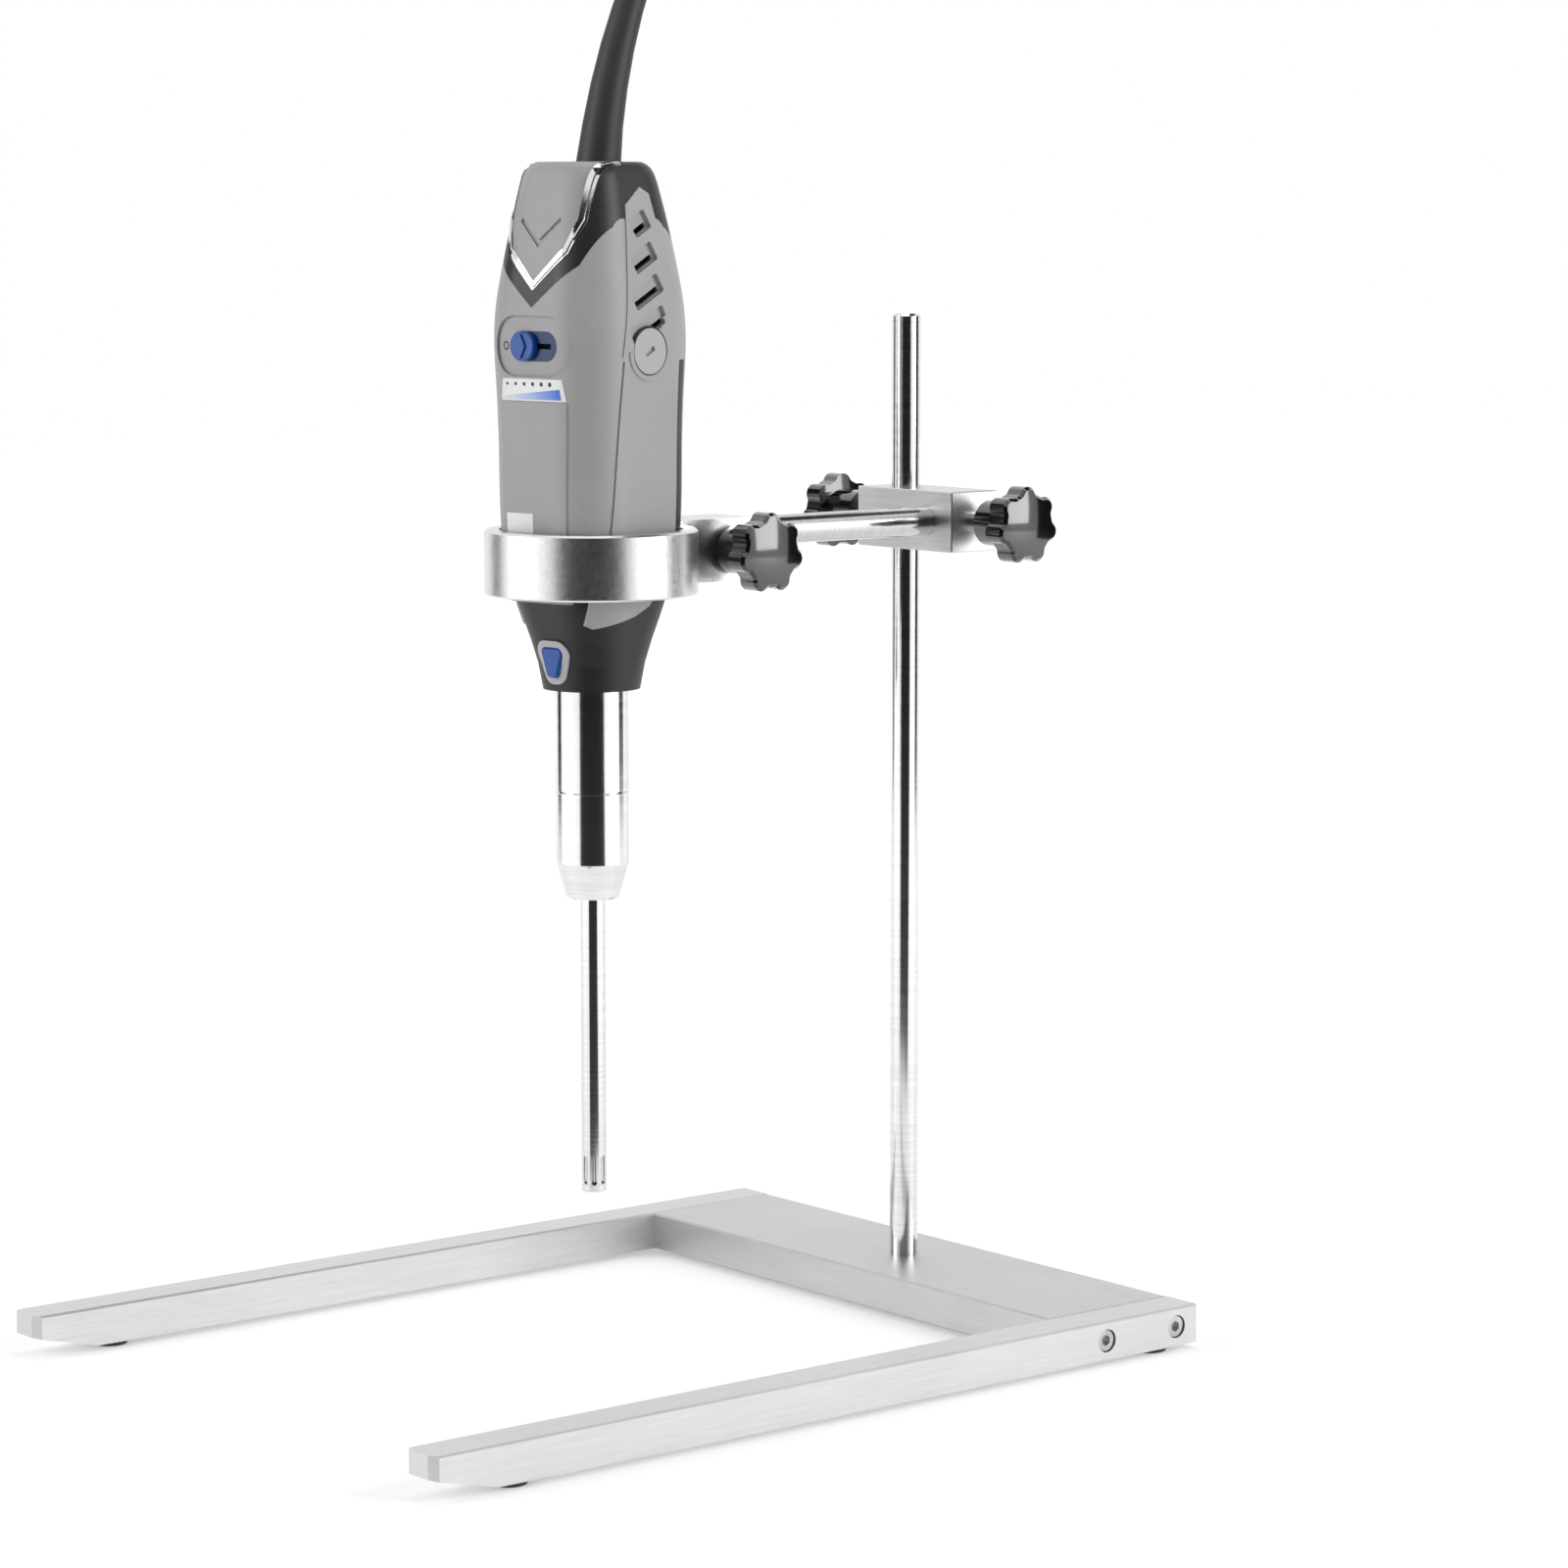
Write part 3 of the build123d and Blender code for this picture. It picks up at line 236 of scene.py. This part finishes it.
# ---- Plug -------------------------------------------------------------------
# Flat moulded two-pin plug in the same black PVC as the lead.
wear(["mains_plug"], lead_pvc)

# ---- Stand bars -------------------------------------------------------------
# Two legs and a cross plate sawn from flat aluminium bar, satin anodised.
# The eye sees a pale, soft sheen with fine lines along each bar.


def bar_aluminium(name, along, base, dark, rough_low, rough_high):
    made, t = new_material(name)
    spot = add_node(t, "ShaderNodeTexCoord")
    stretch = add_node(t, "ShaderNodeMapping", None, Vector=spot.outputs["Object"])
    stretch.inputs["Scale"].default_value = along
    lines = add_node(
        t, "ShaderNodeTexNoise", {"Scale": 60.0, "Detail": 6.0, "Roughness": 0.65}, Vector=stretch.outputs[0]
    )
    blot = add_node(t, "ShaderNodeTexNoise", {"Scale": 14.0, "Detail": 5.0}, Vector=spot.outputs["Object"])
    mixed = add_node(
        t, "ShaderNodeMix", {"data_type": "FLOAT"}, _2=lines.outputs["Fac"], _3=blot.outputs["Fac"]
    )
    mixed.inputs[0].default_value = 0.35
    tone = add_node(t, "ShaderNodeValToRGB", None, Fac=mixed.outputs[0])
    tone.color_ramp.elements[0].position = 0.32
    tone.color_ramp.elements[1].position = 0.68
    tone.color_ramp.elements[0].color = linear(dark)
    tone.color_ramp.elements[1].color = linear(base)
    gloss = add_node(
        t, "ShaderNodeMapRange", {"To Min": rough_low, "To Max": rough_high}, Value=mixed.outputs[0]
    )
    relief = add_node(
        t, "ShaderNodeBump", {"Strength": 0.12, "Distance": 0.0001}, Height=lines.outputs["Fac"]
    )
    finish_material(
        t,
        add_node(
            t,
            "ShaderNodeBsdfPrincipled",
            {"Metallic": 1.0},
            Base_Color=tone.outputs[0],
            Roughness=gloss.outputs[0],
            Normal=relief.outputs[0],
        ),
    )
    return made


leg_aluminium = bar_aluminium(
    "satin anodised aluminium, drawn along Y", (18.0, 0.5, 18.0), "#d8d8d8", "#c8c8c8", 0.34, 0.46
)
# The plate is the legs' aluminium; its darker base colours are painted shade for how light falls on it.
plate_aluminium_painted_shade = bar_aluminium(
    "satin anodised aluminium, drawn along X", (0.5, 18.0, 18.0), "#cecece", "#bdbdbd", 0.34, 0.46
)
wear(["leg_left", "leg_right"], leg_aluminium)
wear(["base_plate"], plate_aluminium_painted_shade)

# ---- Clamp head -------------------------------------------------------------
# One block of aluminium bar, fly-cut on its faces, with sharp broken edges.
head_aluminium = bar_aluminium("fly-cut aluminium", (0.6, 14.0, 22.0), "#dddddd", "#c6c6c6", 0.26, 0.40)
wear(["boss_head"], head_aluminium)

# ---- Rod and arm ------------------------------------------------------------
# Ground and polished stainless bar, 12 mm. Mirror-like along its length, with
# very fine rings from the grinding wheel.


def polished_bar(name, squeeze, base, dark, low, high):
    made, t = new_material(name)
    spot = add_node(t, "ShaderNodeTexCoord")
    stretch = add_node(t, "ShaderNodeMapping", None, Vector=spot.outputs["Object"])
    stretch.inputs["Scale"].default_value = squeeze
    rings = add_node(t, "ShaderNodeTexNoise", {"Scale": 90.0, "Detail": 5.0}, Vector=stretch.outputs[0])
    tone = add_node(t, "ShaderNodeValToRGB", None, Fac=rings.outputs["Fac"])
    tone.color_ramp.elements[0].position = 0.3
    tone.color_ramp.elements[1].position = 0.7
    tone.color_ramp.elements[0].color = linear(dark)
    tone.color_ramp.elements[1].color = linear(base)
    gloss = add_node(t, "ShaderNodeMapRange", {"To Min": low, "To Max": high}, Value=rings.outputs["Fac"])
    relief = add_node(
        t, "ShaderNodeBump", {"Strength": 0.05, "Distance": 0.00006}, Height=rings.outputs["Fac"]
    )
    finish_material(
        t,
        add_node(
            t,
            "ShaderNodeBsdfPrincipled",
            {"Metallic": 1.0},
            Base_Color=tone.outputs[0],
            Roughness=gloss.outputs[0],
            Normal=relief.outputs[0],
        ),
    )
    return made


rod_steel = polished_bar("ground stainless steel, upright", (0.4, 0.4, 9.0), "#e9e9e9", "#dadada", 0.10, 0.17)
# The arm is the rod's steel; its darker base colours are painted shade for how light falls on the level bar.
arm_steel_painted_shade = polished_bar("ground stainless steel, level", (0.4, 9.0, 0.4), "#cdcdcd", "#bebebe", 0.10, 0.17)
wear(["stand_rod", "collar_upper", "collar_lower", "drive_shaft", "rotor", "motor_shaft"], rod_steel)
wear(["cross_arm"], arm_steel_painted_shade)
tube_steel = polished_bar("electropolished stainless tube", (0.4, 0.4, 9.0), "#e4e4e4", "#d2d2d2", 0.08, 0.15)
wear(["stator_tube"], tube_steel)

# ---- Holder ring ------------------------------------------------------------
# Turned aluminium ring with its clamp lug, bead blasted: soft sheen broken up by a
# fine sparkle. The dents are drawn 0.4 mm across, coarser than real ones.
ring_blasted, tree = new_material("bead-blasted aluminium")
place = add_node(tree, "ShaderNodeTexCoord")
dents = add_node(tree, "ShaderNodeTexVoronoi", {"Scale": 2300.0}, Vector=place.outputs["Object"])
patch = add_node(tree, "ShaderNodeTexNoise", {"Scale": 500.0, "Detail": 3.0}, Vector=place.outputs["Object"])
shade = add_node(tree, "ShaderNodeValToRGB", None, Fac=patch.outputs["Fac"])
shade.color_ramp.elements[0].color = linear("#cfcfd1")
shade.color_ramp.elements[1].color = linear("#f0f0f0")
rough = add_node(tree, "ShaderNodeMapRange", {"To Min": 0.24, "To Max": 0.36}, Value=patch.outputs["Fac"])
bump = add_node(
    tree, "ShaderNodeBump", {"Strength": 0.16, "Distance": 0.00010}, Height=dents.outputs["Distance"]
)
finish_material(
    tree,
    add_node(
        tree,
        "ShaderNodeBsdfPrincipled",
        {"Metallic": 1.0},
        Base_Color=shade.outputs[0],
        Roughness=rough.outputs[0],
        Normal=bump.outputs[0],
    ),
)
wear(["holder_ring"], ring_blasted)

# ---- Star knobs -------------------------------------------------------------
# Seven-lobed knobs compression moulded in black phenolic, each on a plated stud.
# They come glossy out of a polished tool, with faintly domed faces that gather a light.
DOME_RADIUS = 0.06
for knob_name in ("rod_knob", "arm_knob", "ring_knob"):
    low, high = (Vector(c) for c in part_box(knob_name))
    middle, span = (low + high) / 2, high - low
    thin = min(range(3), key=lambda k: span[k])
    across_face = [0.0 if k == thin else 1.0 for k in range(3)]
    knob_phenolic, tree = new_material("polished black phenolic, " + knob_name)
    place = add_node(tree, "ShaderNodeTexCoord")
    swirl = add_node(
        tree, "ShaderNodeTexNoise", {"Scale": 320.0, "Detail": 3.0}, Vector=place.outputs["Object"]
    )
    shade = add_node(tree, "ShaderNodeValToRGB", None, Fac=swirl.outputs["Fac"])
    shade.color_ramp.elements[0].color = linear("#070707")
    shade.color_ramp.elements[1].color = linear("#101010")
    rough = add_node(
        tree, "ShaderNodeMapRange", {"To Min": 0.08, "To Max": 0.17}, Value=swirl.outputs["Fac"]
    )
    out = add_node(tree, "ShaderNodeVectorMath", {"operation": "SUBTRACT"}, _0=place.outputs["Object"])
    out.inputs[1].default_value = middle
    flat_out = add_node(tree, "ShaderNodeVectorMath", {"operation": "MULTIPLY"}, _0=out.outputs[0])
    flat_out.inputs[1].default_value = across_face
    squared = add_node(
        tree,
        "ShaderNodeVectorMath",
        {"operation": "DOT_PRODUCT"},
        _0=flat_out.outputs[0],
        _1=flat_out.outputs[0],
    )
    crown = add_node(tree, "ShaderNodeMath", {"operation": "MULTIPLY"}, _0=squared.outputs["Value"])
    crown.inputs[1].default_value = -0.5 / DOME_RADIUS
    dome = add_node(tree, "ShaderNodeBump", {"Strength": 1.0, "Distance": 1.0}, Height=crown.outputs[0])
    bump = add_node(
        tree,
        "ShaderNodeBump",
        {"Strength": 0.06, "Distance": 0.0002},
        Height=swirl.outputs["Fac"],
        Normal=dome.outputs[0],
    )
    finish_material(
        tree,
        add_node(
            tree,
            "ShaderNodeBsdfPrincipled",
            {"IOR": 1.62, "Coat Weight": 1.0, "Coat Roughness": 0.05},
            Base_Color=shade.outputs[0],
            Roughness=rough.outputs[0],
            Normal=bump.outputs[0],
            Coat_Normal=dome.outputs[0],
        ),
    )
    wear([knob_name], knob_phenolic)

# ---- Studs and screws -------------------------------------------------------
# Plated steel fasteners: a slightly milky bright metal.
zinc_steel = polished_bar("zinc-plated steel", (1.0, 1.0, 1.0), "#cfcfcf", "#a9a9aa", 0.22, 0.36)
wear(
    [
        "rod_knob_stud",
        "arm_knob_stud",
        "ring_knob_stud",
        "leg_screws",
        "rod_screw",
        "housing_screws",
        "front_bearing",
        "rear_bearing",
        "drive_coupling",
        "brush_springs",
    ],
    zinc_steel,
)

# ---- Housing ----------------------------------------------------------------
# Two clamshell halves, cap, panel and slider plate moulded in mid-grey ABS with a
# fine spark-eroded texture: matt, faintly mottled, glossier in soft patches. The
# texture's spacing is drawn at 0.6 mm, coarser than real.


def moulded_plastic(name, base, dark, low, high, grain_size, depth, ior=1.5):
    """grain_size and depth are the texture's spacing and height in metres."""
    made, t = new_material(name)
    spot = add_node(t, "ShaderNodeTexCoord")
    fine = add_node(
        t, "ShaderNodeTexNoise", {"Scale": 1.0 / grain_size, "Detail": 2.0}, Vector=spot.outputs["Object"]
    )
    cloudy = add_node(
        t, "ShaderNodeTexNoise", {"Scale": 35.0, "Detail": 5.0}, Vector=spot.outputs["Object"]
    )
    mixed = add_node(
        t, "ShaderNodeMix", {"data_type": "FLOAT"}, _2=fine.outputs["Fac"], _3=cloudy.outputs["Fac"]
    )
    mixed.inputs[0].default_value = 0.5
    tone = add_node(t, "ShaderNodeValToRGB", None, Fac=mixed.outputs[0])
    tone.color_ramp.elements[0].position = 0.3
    tone.color_ramp.elements[1].position = 0.7
    tone.color_ramp.elements[0].color = linear(dark)
    tone.color_ramp.elements[1].color = linear(base)
    gloss = add_node(t, "ShaderNodeMapRange", {"To Min": low, "To Max": high}, Value=cloudy.outputs["Fac"])
    relief = add_node(t, "ShaderNodeBump", {"Strength": 0.3, "Distance": depth}, Height=fine.outputs["Fac"])
    finish_material(
        t,
        add_node(
            t,
            "ShaderNodeBsdfPrincipled",
            {"IOR": ior},
            Base_Color=tone.outputs[0],
            Roughness=gloss.outputs[0],
            Normal=relief.outputs[0],
        ),
    )
    return made


grey_abs = moulded_plastic("spark-textured grey ABS", "#acacac", "#a0a0a0", 0.42, 0.56, 0.0006, 0.00008)
wear(["housing_left", "housing_right", "rear_cap", "front_panel", "speed_plate", "vent_grilles"], grey_abs)
cap_abs = moulded_plastic("fine-textured light grey ABS", "#bababa", "#aeaeae", 0.40, 0.52, 0.0006, 0.00006)
wear(["brush_caps", "button_bezel"], cap_abs)

# ---- Black overmould and nose -----------------------------------------------
# A softer black TPE band and strips, and a nose of glass-filled nylon like the fan
# and the bearing bracket inside.
black_tpe = moulded_plastic("overmoulded black TPE", "#131313", "#0b0b0b", 0.34, 0.48, 0.0008, 0.00008)
wear(["grip_band", "grip_strips"], black_tpe)
nylon_nose = moulded_plastic(
    "glass-filled black nylon", "#0d0d0e", "#080809", 0.40, 0.54, 0.0007, 0.0001, 1.53
)
wear(["nose_cone", "cooling_fan", "bearing_bracket"], nylon_nose)

# ---- Brush cap gap shade ----------------------------------------------------
# A thin black ring in the seat round each screwed brush cap is painted shade. It stands for the shadow in the
# gap where the cap meets the housing, and it shows as a dark matt line.
BRUSH_Z = 407.7
# Millimetres: the ring's radius, its wire's radius and its distance out from the axis.
GAP_RING_R, GAP_RING_WIRE, GAP_RING_OUT = 9.35, 0.5, 31.6
ROUND_STEPS, SECTION_STEPS = 48, 10
# The ring's matt black is painted shade for the gap round each cap.
cap_gap_shade = moulded_plastic("matt black, painted shade in the brush cap gap", "#101010", "#080808", 0.5, 0.62, 0.0004, 0.00003)
for hand, side in (("left", -1), ("right", 1)):
    made = bmesh.new()
    rings = []
    for k in range(ROUND_STEPS):
        a = 2 * math.pi * k / ROUND_STEPS
        ring = []
        for j in range(SECTION_STEPS):
            b = 2 * math.pi * j / SECTION_STEPS
            reach = GAP_RING_R + GAP_RING_WIRE * math.cos(b)
            out = side * (GAP_RING_OUT + GAP_RING_WIRE * math.sin(b))
            ring.append(made.verts.new(on_tool(out, reach * math.cos(a), BRUSH_Z + reach * math.sin(a))))
        rings.append(ring)
    for k in range(ROUND_STEPS):
        for j in range(SECTION_STEPS):
            near, far = rings[k], rings[(k + 1) % ROUND_STEPS]
            after = (j + 1) % SECTION_STEPS
            made.faces.new((near[j], near[after], far[after], far[j])).smooth = True
    bmesh.ops.recalc_face_normals(made, faces=made.faces)
    mesh = bpy.data.meshes.new("brush_gap_shade_" + hand)
    made.to_mesh(mesh)
    made.free()
    mesh.materials.append(cap_gap_shade)
    gap_shade_ring = bpy.data.objects.new("brush_gap_shade_" + hand, mesh)
    bpy.context.scene.collection.objects.link(gap_shade_ring)
    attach(gap_shade_ring, "tool")

# ---- Trim -------------------------------------------------------------------
# Bright plated moulding that runs round the cap: mirror bright, faintly orange-peeled.
chrome = polished_bar("bright chrome plating on ABS", (1.0, 1.0, 1.0), "#e8e8ea", "#dcdcde", 0.05, 0.12)
wear(["chrome_trim"], chrome)

# ---- Slider, its slot and the lock button -----------------------------------
# Blue acetal mouldings, semi-gloss and evenly coloured through.
blue_acetal = moulded_plastic("moulded blue acetal", "#0d4fa6", "#0a4490", 0.26, 0.38, 0.0007, 0.00004, 1.48)
wear(["speed_slider", "lock_button"], blue_acetal)
floor_acetal = moulded_plastic(
    "moulded dark blue acetal", "#0a2f6e", "#071f4c", 0.34, 0.46, 0.0007, 0.00004, 1.48
)
wear(["slot_floor"], floor_acetal)

# ---- Scale plate ------------------------------------------------------------
# Printed white film under the slider: six dots over a wedge that runs from white to
# blue. The inks are screen printed, a few hundredths of a millimetre thick.
scale_film = moulded_plastic("printed white film", "#f6f6f6", "#ececec", 0.25, 0.35, 0.001, 0.00003)
wear(["scale_plate"], scale_film)
SLIDE_Z = 409.7


def print_on(name, carrier, rows, material, lift=0.00006):
    """A printed patch: rows of (x, z) points in millimetres, dropped onto the front of a piece."""
    skin = nodes[carrier].data
    corners = [v.co[:] for v in skin.vertices]
    tree_of_faces = BVHTree.FromPolygons(corners, [p.vertices[:] for p in skin.polygons])
    inward = (on_tool(0, 1000, 0) - on_tool(0, 0, 0)).normalized()
    made = bmesh.new()
    uv = made.loops.layers.uv.new("print")
    grid = []
    for row in rows:
        line = []
        for x, z in row:
            hit = tree_of_faces.ray_cast(on_tool(x, -60, z), inward)
            line.append(made.verts.new(hit[0] - inward * lift))
        grid.append(line)
    for r in range(len(grid) - 1):
        for c in range(len(grid[0]) - 1):
            face = made.faces.new((grid[r][c], grid[r][c + 1], grid[r + 1][c + 1], grid[r + 1][c]))
            face.smooth = True
            for loop, (du, dv) in zip(face.loops, ((0, 0), (1, 0), (1, 1), (0, 1))):
                loop[uv].uv = ((c + du) / (len(grid[0]) - 1), (r + dv) / (len(grid) - 1))
    mesh = bpy.data.meshes.new(name)
    made.to_mesh(mesh)
    made.free()
    mesh.materials.append(material)
    piece = bpy.data.objects.new(name, mesh)
    bpy.context.scene.collection.objects.link(piece)
    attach(piece, "tool")
    return piece


def disc_rows(x, z, inner, outer, turns=20):
    """Two rings of points, for a printed dot or circle."""
    angles = [2 * math.pi * k / turns for k in range(turns + 1)]
    return [[(x + r * math.cos(a), z + r * math.sin(a)) for a in angles] for r in (inner, outer)]


black_ink = moulded_plastic("screen-printed black ink", "#161616", "#0c0c0c", 0.35, 0.45, 0.0005, 0.00002)
wedge_ink, tree = new_material("screen-printed blue ink, shaded")
run = add_node(tree, "ShaderNodeTexCoord")
split = add_node(tree, "ShaderNodeSeparateXYZ", None, Vector=run.outputs["UV"])
speckle = add_node(tree, "ShaderNodeTexNoise", {"Scale": 1500.0, "Detail": 2.0}, Vector=run.outputs["Object"])
shift = add_node(
    tree, "ShaderNodeMath", {"operation": "MULTIPLY_ADD"}, _0=speckle.outputs["Fac"], _2=split.outputs["X"]
)
shift.inputs[1].default_value = 0.08
tone = add_node(tree, "ShaderNodeValToRGB", None, Fac=shift.outputs[0])
tone.color_ramp.elements[0].color = linear("#e6eaf2")
tone.color_ramp.elements[1].color = linear("#2f6fd0")
tone.color_ramp.elements.new(0.45).color = linear("#b4c8ec")
gloss = add_node(tree, "ShaderNodeMapRange", {"To Min": 0.28, "To Max": 0.38}, Value=speckle.outputs["Fac"])
finish_material(
    tree,
    add_node(
        tree, "ShaderNodeBsdfPrincipled", {"IOR": 1.5}, Base_Color=tone.outputs[0], Roughness=gloss.outputs[0]
    ),
)
DOTS, DOT_FIRST, DOT_PITCH, DOT_Z = 6, -13.0, 4.6, 395.2
for k in range(DOTS):
    dot = disc_rows(DOT_FIRST + DOT_PITCH * k, DOT_Z, 0.0, 0.62 + 0.06 * k, 12)
    print_on(f"scale_dot_{k + 1}", "scale_plate", dot, black_ink)
wedge_low = [(-15.6 + 31.0 * k / 14, 389.3) for k in range(15)]
wedge_high = [(-15.4 + 30.2 * k / 14, 390.4 + 3.0 * k / 14) for k in range(15)]
print_on("scale_wedge", "scale_plate", [wedge_low, wedge_high], wedge_ink)

# ---- Off mark and rating label ----------------------------------------------
# A small printed circle beside the slot marks the off end of the slider's travel,
# and a plain white paper label is stuck to the bottom left of the long panel.
print_on("off_mark", "speed_plate", disc_rows(-14.6, SLIDE_Z, 1.15, 1.75, 24), black_ink)
label_paper = moulded_plastic("coated white label paper", "#fbfbfb", "#f2f2f2", 0.4, 0.52, 0.0009, 0.00003)
label_rows = [[(-14.6 + 14.4 * c / 8, z) for c in range(9)] for z in (345.2, 341.4, 337.6)]
print_on("rating_label", "front_panel", label_rows, label_paper, 0.0001)

# ---- Inside pieces ----------------------------------------------------------
# Enamelled copper, stacked laminations, carbon, brass and PTFE of the motor.
copper_wire = polished_bar("enamelled copper winding", (1.0, 1.0, 14.0), "#c06a2c", "#8a4417", 0.25, 0.4)
wear(["field_coils", "armature_windings", "commutator"], copper_wire)
lamination = polished_bar("stacked electrical steel", (1.0, 1.0, 40.0), "#6d6d70", "#4b4b4e", 0.35, 0.5)
wear(["field_stack", "armature_core"], lamination)
brass = polished_bar("drawn brass", (1.0, 1.0, 1.0), "#d8b56a", "#b8924a", 0.22, 0.34)
wear(["brush_holders"], brass)
carbon = moulded_plastic("pressed carbon", "#1f1f20", "#141414", 0.5, 0.65, 0.0004, 0.00005)
wear(["carbon_brushes"], carbon)
ptfe = moulded_plastic("turned PTFE", "#f0f0ee", "#e4e4e2", 0.35, 0.5, 0.0006, 0.00003, 1.38)
wear(["tube_bushes"], ptfe)
board = moulded_plastic("green solder mask on glass-epoxy", "#1f5a33", "#184a29", 0.3, 0.4, 0.0009, 0.00004)
wear(["speed_board"], board)

# ---- Bench and light --------------------------------------------------------
# A plain white bench that keeps the stand's shadow, a white surround, two strip lamps
# and a top lamp, and black flock cards round the set that stripe the polished bars.
bench_mesh = bpy.data.meshes.new("bench")
bm = bmesh.new()
for x, y in ((-6, -6), (6, -6), (6, 6), (-6, 6)):
    bm.verts.new((x, y, -0.0002))
bm.faces.new(bm.verts)
bm.to_mesh(bench_mesh)
bm.free()
bench = bpy.data.objects.new("bench", bench_mesh)
bpy.context.scene.collection.objects.link(bench)
bench_white, tree = new_material("matt white bench")
path = add_node(tree, "ShaderNodeLightPath")
spot = add_node(tree, "ShaderNodeTexCoord")
far = add_node(tree, "ShaderNodeVectorMath", {"operation": "LENGTH"}, _0=spot.outputs["Object"])
lift = add_node(
    tree,
    "ShaderNodeMapRange",
    {"From Min": 0.35, "From Max": 2.4, "To Min": 0.30, "To Max": 0.63},
    Value=far.outputs["Value"],
)
camera_ray, glossy_ray = path.outputs["Is Camera Ray"], path.outputs["Is Glossy Ray"]
straight = add_node(tree, "ShaderNodeMath", {"operation": "MAXIMUM"}, _0=camera_ray, _1=glossy_ray)
through = path.outputs["Is Transmission Ray"]
watched = add_node(tree, "ShaderNodeMath", {"operation": "MAXIMUM"}, _0=straight.outputs[0], _1=through)
glow = add_node(tree, "ShaderNodeMath", {"operation": "MULTIPLY"}, _0=watched.outputs[0], _1=lift.outputs[0])
speck = add_node(tree, "ShaderNodeTexNoise", {"Scale": 40.0, "Detail": 3.0})
tint = add_node(tree, "ShaderNodeValToRGB", None, Fac=speck.outputs["Fac"])
tint.color_ramp.elements[0].color = linear("#f4f4f4")
tint.color_ramp.elements[1].color = linear("#fbfbfb")
paint = add_node(
    tree,
    "ShaderNodeBsdfPrincipled",
    {"Roughness": 0.7, "Emission Color": linear("#ffffff")},
    Base_Color=tint.outputs[0],
    Emission_Strength=glow.outputs[0],
)
finish_material(tree, paint)
bench_mesh.materials.append(bench_white)

world = bpy.data.worlds.new("surround")
bpy.context.scene.world = world
world.use_nodes = True
tree = world.node_tree
tree.nodes.clear()
path = add_node(tree, "ShaderNodeLightPath")
camera_ray, glossy_ray = path.outputs["Is Camera Ray"], path.outputs["Is Glossy Ray"]
straight = add_node(tree, "ShaderNodeMath", {"operation": "MAXIMUM"}, _0=camera_ray, _1=glossy_ray)
through = path.outputs["Is Transmission Ray"]
watched = add_node(tree, "ShaderNodeMath", {"operation": "MAXIMUM"}, _0=straight.outputs[0], _1=through)
dim = add_node(tree, "ShaderNodeBackground", {"Color": linear("#ffffff"), "Strength": 0.39})
plain = add_node(tree, "ShaderNodeBackground", {"Color": linear("#ffffff"), "Strength": 1.0})
both = add_node(
    tree, "ShaderNodeMixShader", None, Fac=watched.outputs[0], _1=dim.outputs[0], _2=plain.outputs[0]
)
add_node(tree, "ShaderNodeOutputWorld", None, Surface=both.outputs[0])

# Bearings are counted from the lens, which stands at -38.5 degrees from +X.
FACING = -38.5


def around(bearing, reach, z):
    """A place so many degrees round from the lens, as seen from the stand."""
    a = math.radians(FACING + bearing)
    return Vector((0.02 + reach * math.cos(a), 0.05 + reach * math.sin(a), z))


# Name, place, width and height in metres, power in watts.
LAMPS = (
    ("left strip lamp", around(-76, 2.2, 1.10), 0.9, 1.9, 20.0),
    ("right strip lamp", around(70, 2.2, 1.10), 0.9, 1.9, 26.0),
    ("top lamp", Vector((-0.3, 0.5, 2.5)), 1.4, 1.4, 10.0),
)
for name, place_at, wide, tall, power in LAMPS:
    lamp = bpy.data.lights.new(name, "AREA")
    lamp.shape = "RECTANGLE"
    lamp.size = wide
    lamp.size_y = tall
    lamp.energy = power
    holder = bpy.data.objects.new(name, lamp)
    holder.location = place_at
    holder.rotation_euler = (Vector((0, 0, 0.25)) - place_at).to_track_quat("-Z", "Y").to_euler()
    bpy.context.scene.collection.objects.link(holder)

card_black, tree = new_material("black flock card")
fuzz = add_node(tree, "ShaderNodeTexNoise", {"Scale": 200.0})
tone = add_node(tree, "ShaderNodeValToRGB", None, Fac=fuzz.outputs["Fac"])
tone.color_ramp.elements[0].color = linear("#0a0a0a")
tone.color_ramp.elements[1].color = linear("#161616")
glimmer = add_node(tree, "ShaderNodeBsdfPrincipled", {"Roughness": 0.9}, Base_Color=tone.outputs[0])
finish_material(tree, glimmer)
# Name, first and last bearing, then the card's profile as (reach, height) in metres.
CARD_STEPS = 12
CARDS = (
    ("flock_behind_lens", -37, 37, ((2.3, 1.7), (2.3, 0.003), (0.45, 0.003))),
    ("flock_left", -126, -106, ((1.7, 1.5), (1.7, 0.003))),
    ("flock_right", 90, 112, ((1.7, 1.5), (1.7, 0.003))),
    ("flock_above", 20, 150, ((0.5, 2.3), (1.9, 2.3))),
)
for name, start, stop, profile in CARDS:
    card_mesh = bpy.data.meshes.new(name)
    bm = bmesh.new()
    rows = [
        [
            bm.verts.new(around(start + (stop - start) * k / CARD_STEPS, reach, z))
            for k in range(CARD_STEPS + 1)
        ]
        for reach, z in profile
    ]
    for upper, lower in zip(rows, rows[1:]):
        for k in range(CARD_STEPS):
            bm.faces.new((upper[k], upper[k + 1], lower[k + 1], lower[k]))
    bm.to_mesh(card_mesh)
    bm.free()
    card_mesh.materials.append(card_black)
    card = bpy.data.objects.new(name, card_mesh)
    bpy.context.scene.collection.objects.link(card)
    card.visible_camera = False
    card.visible_diffuse = False
    card.visible_shadow = False
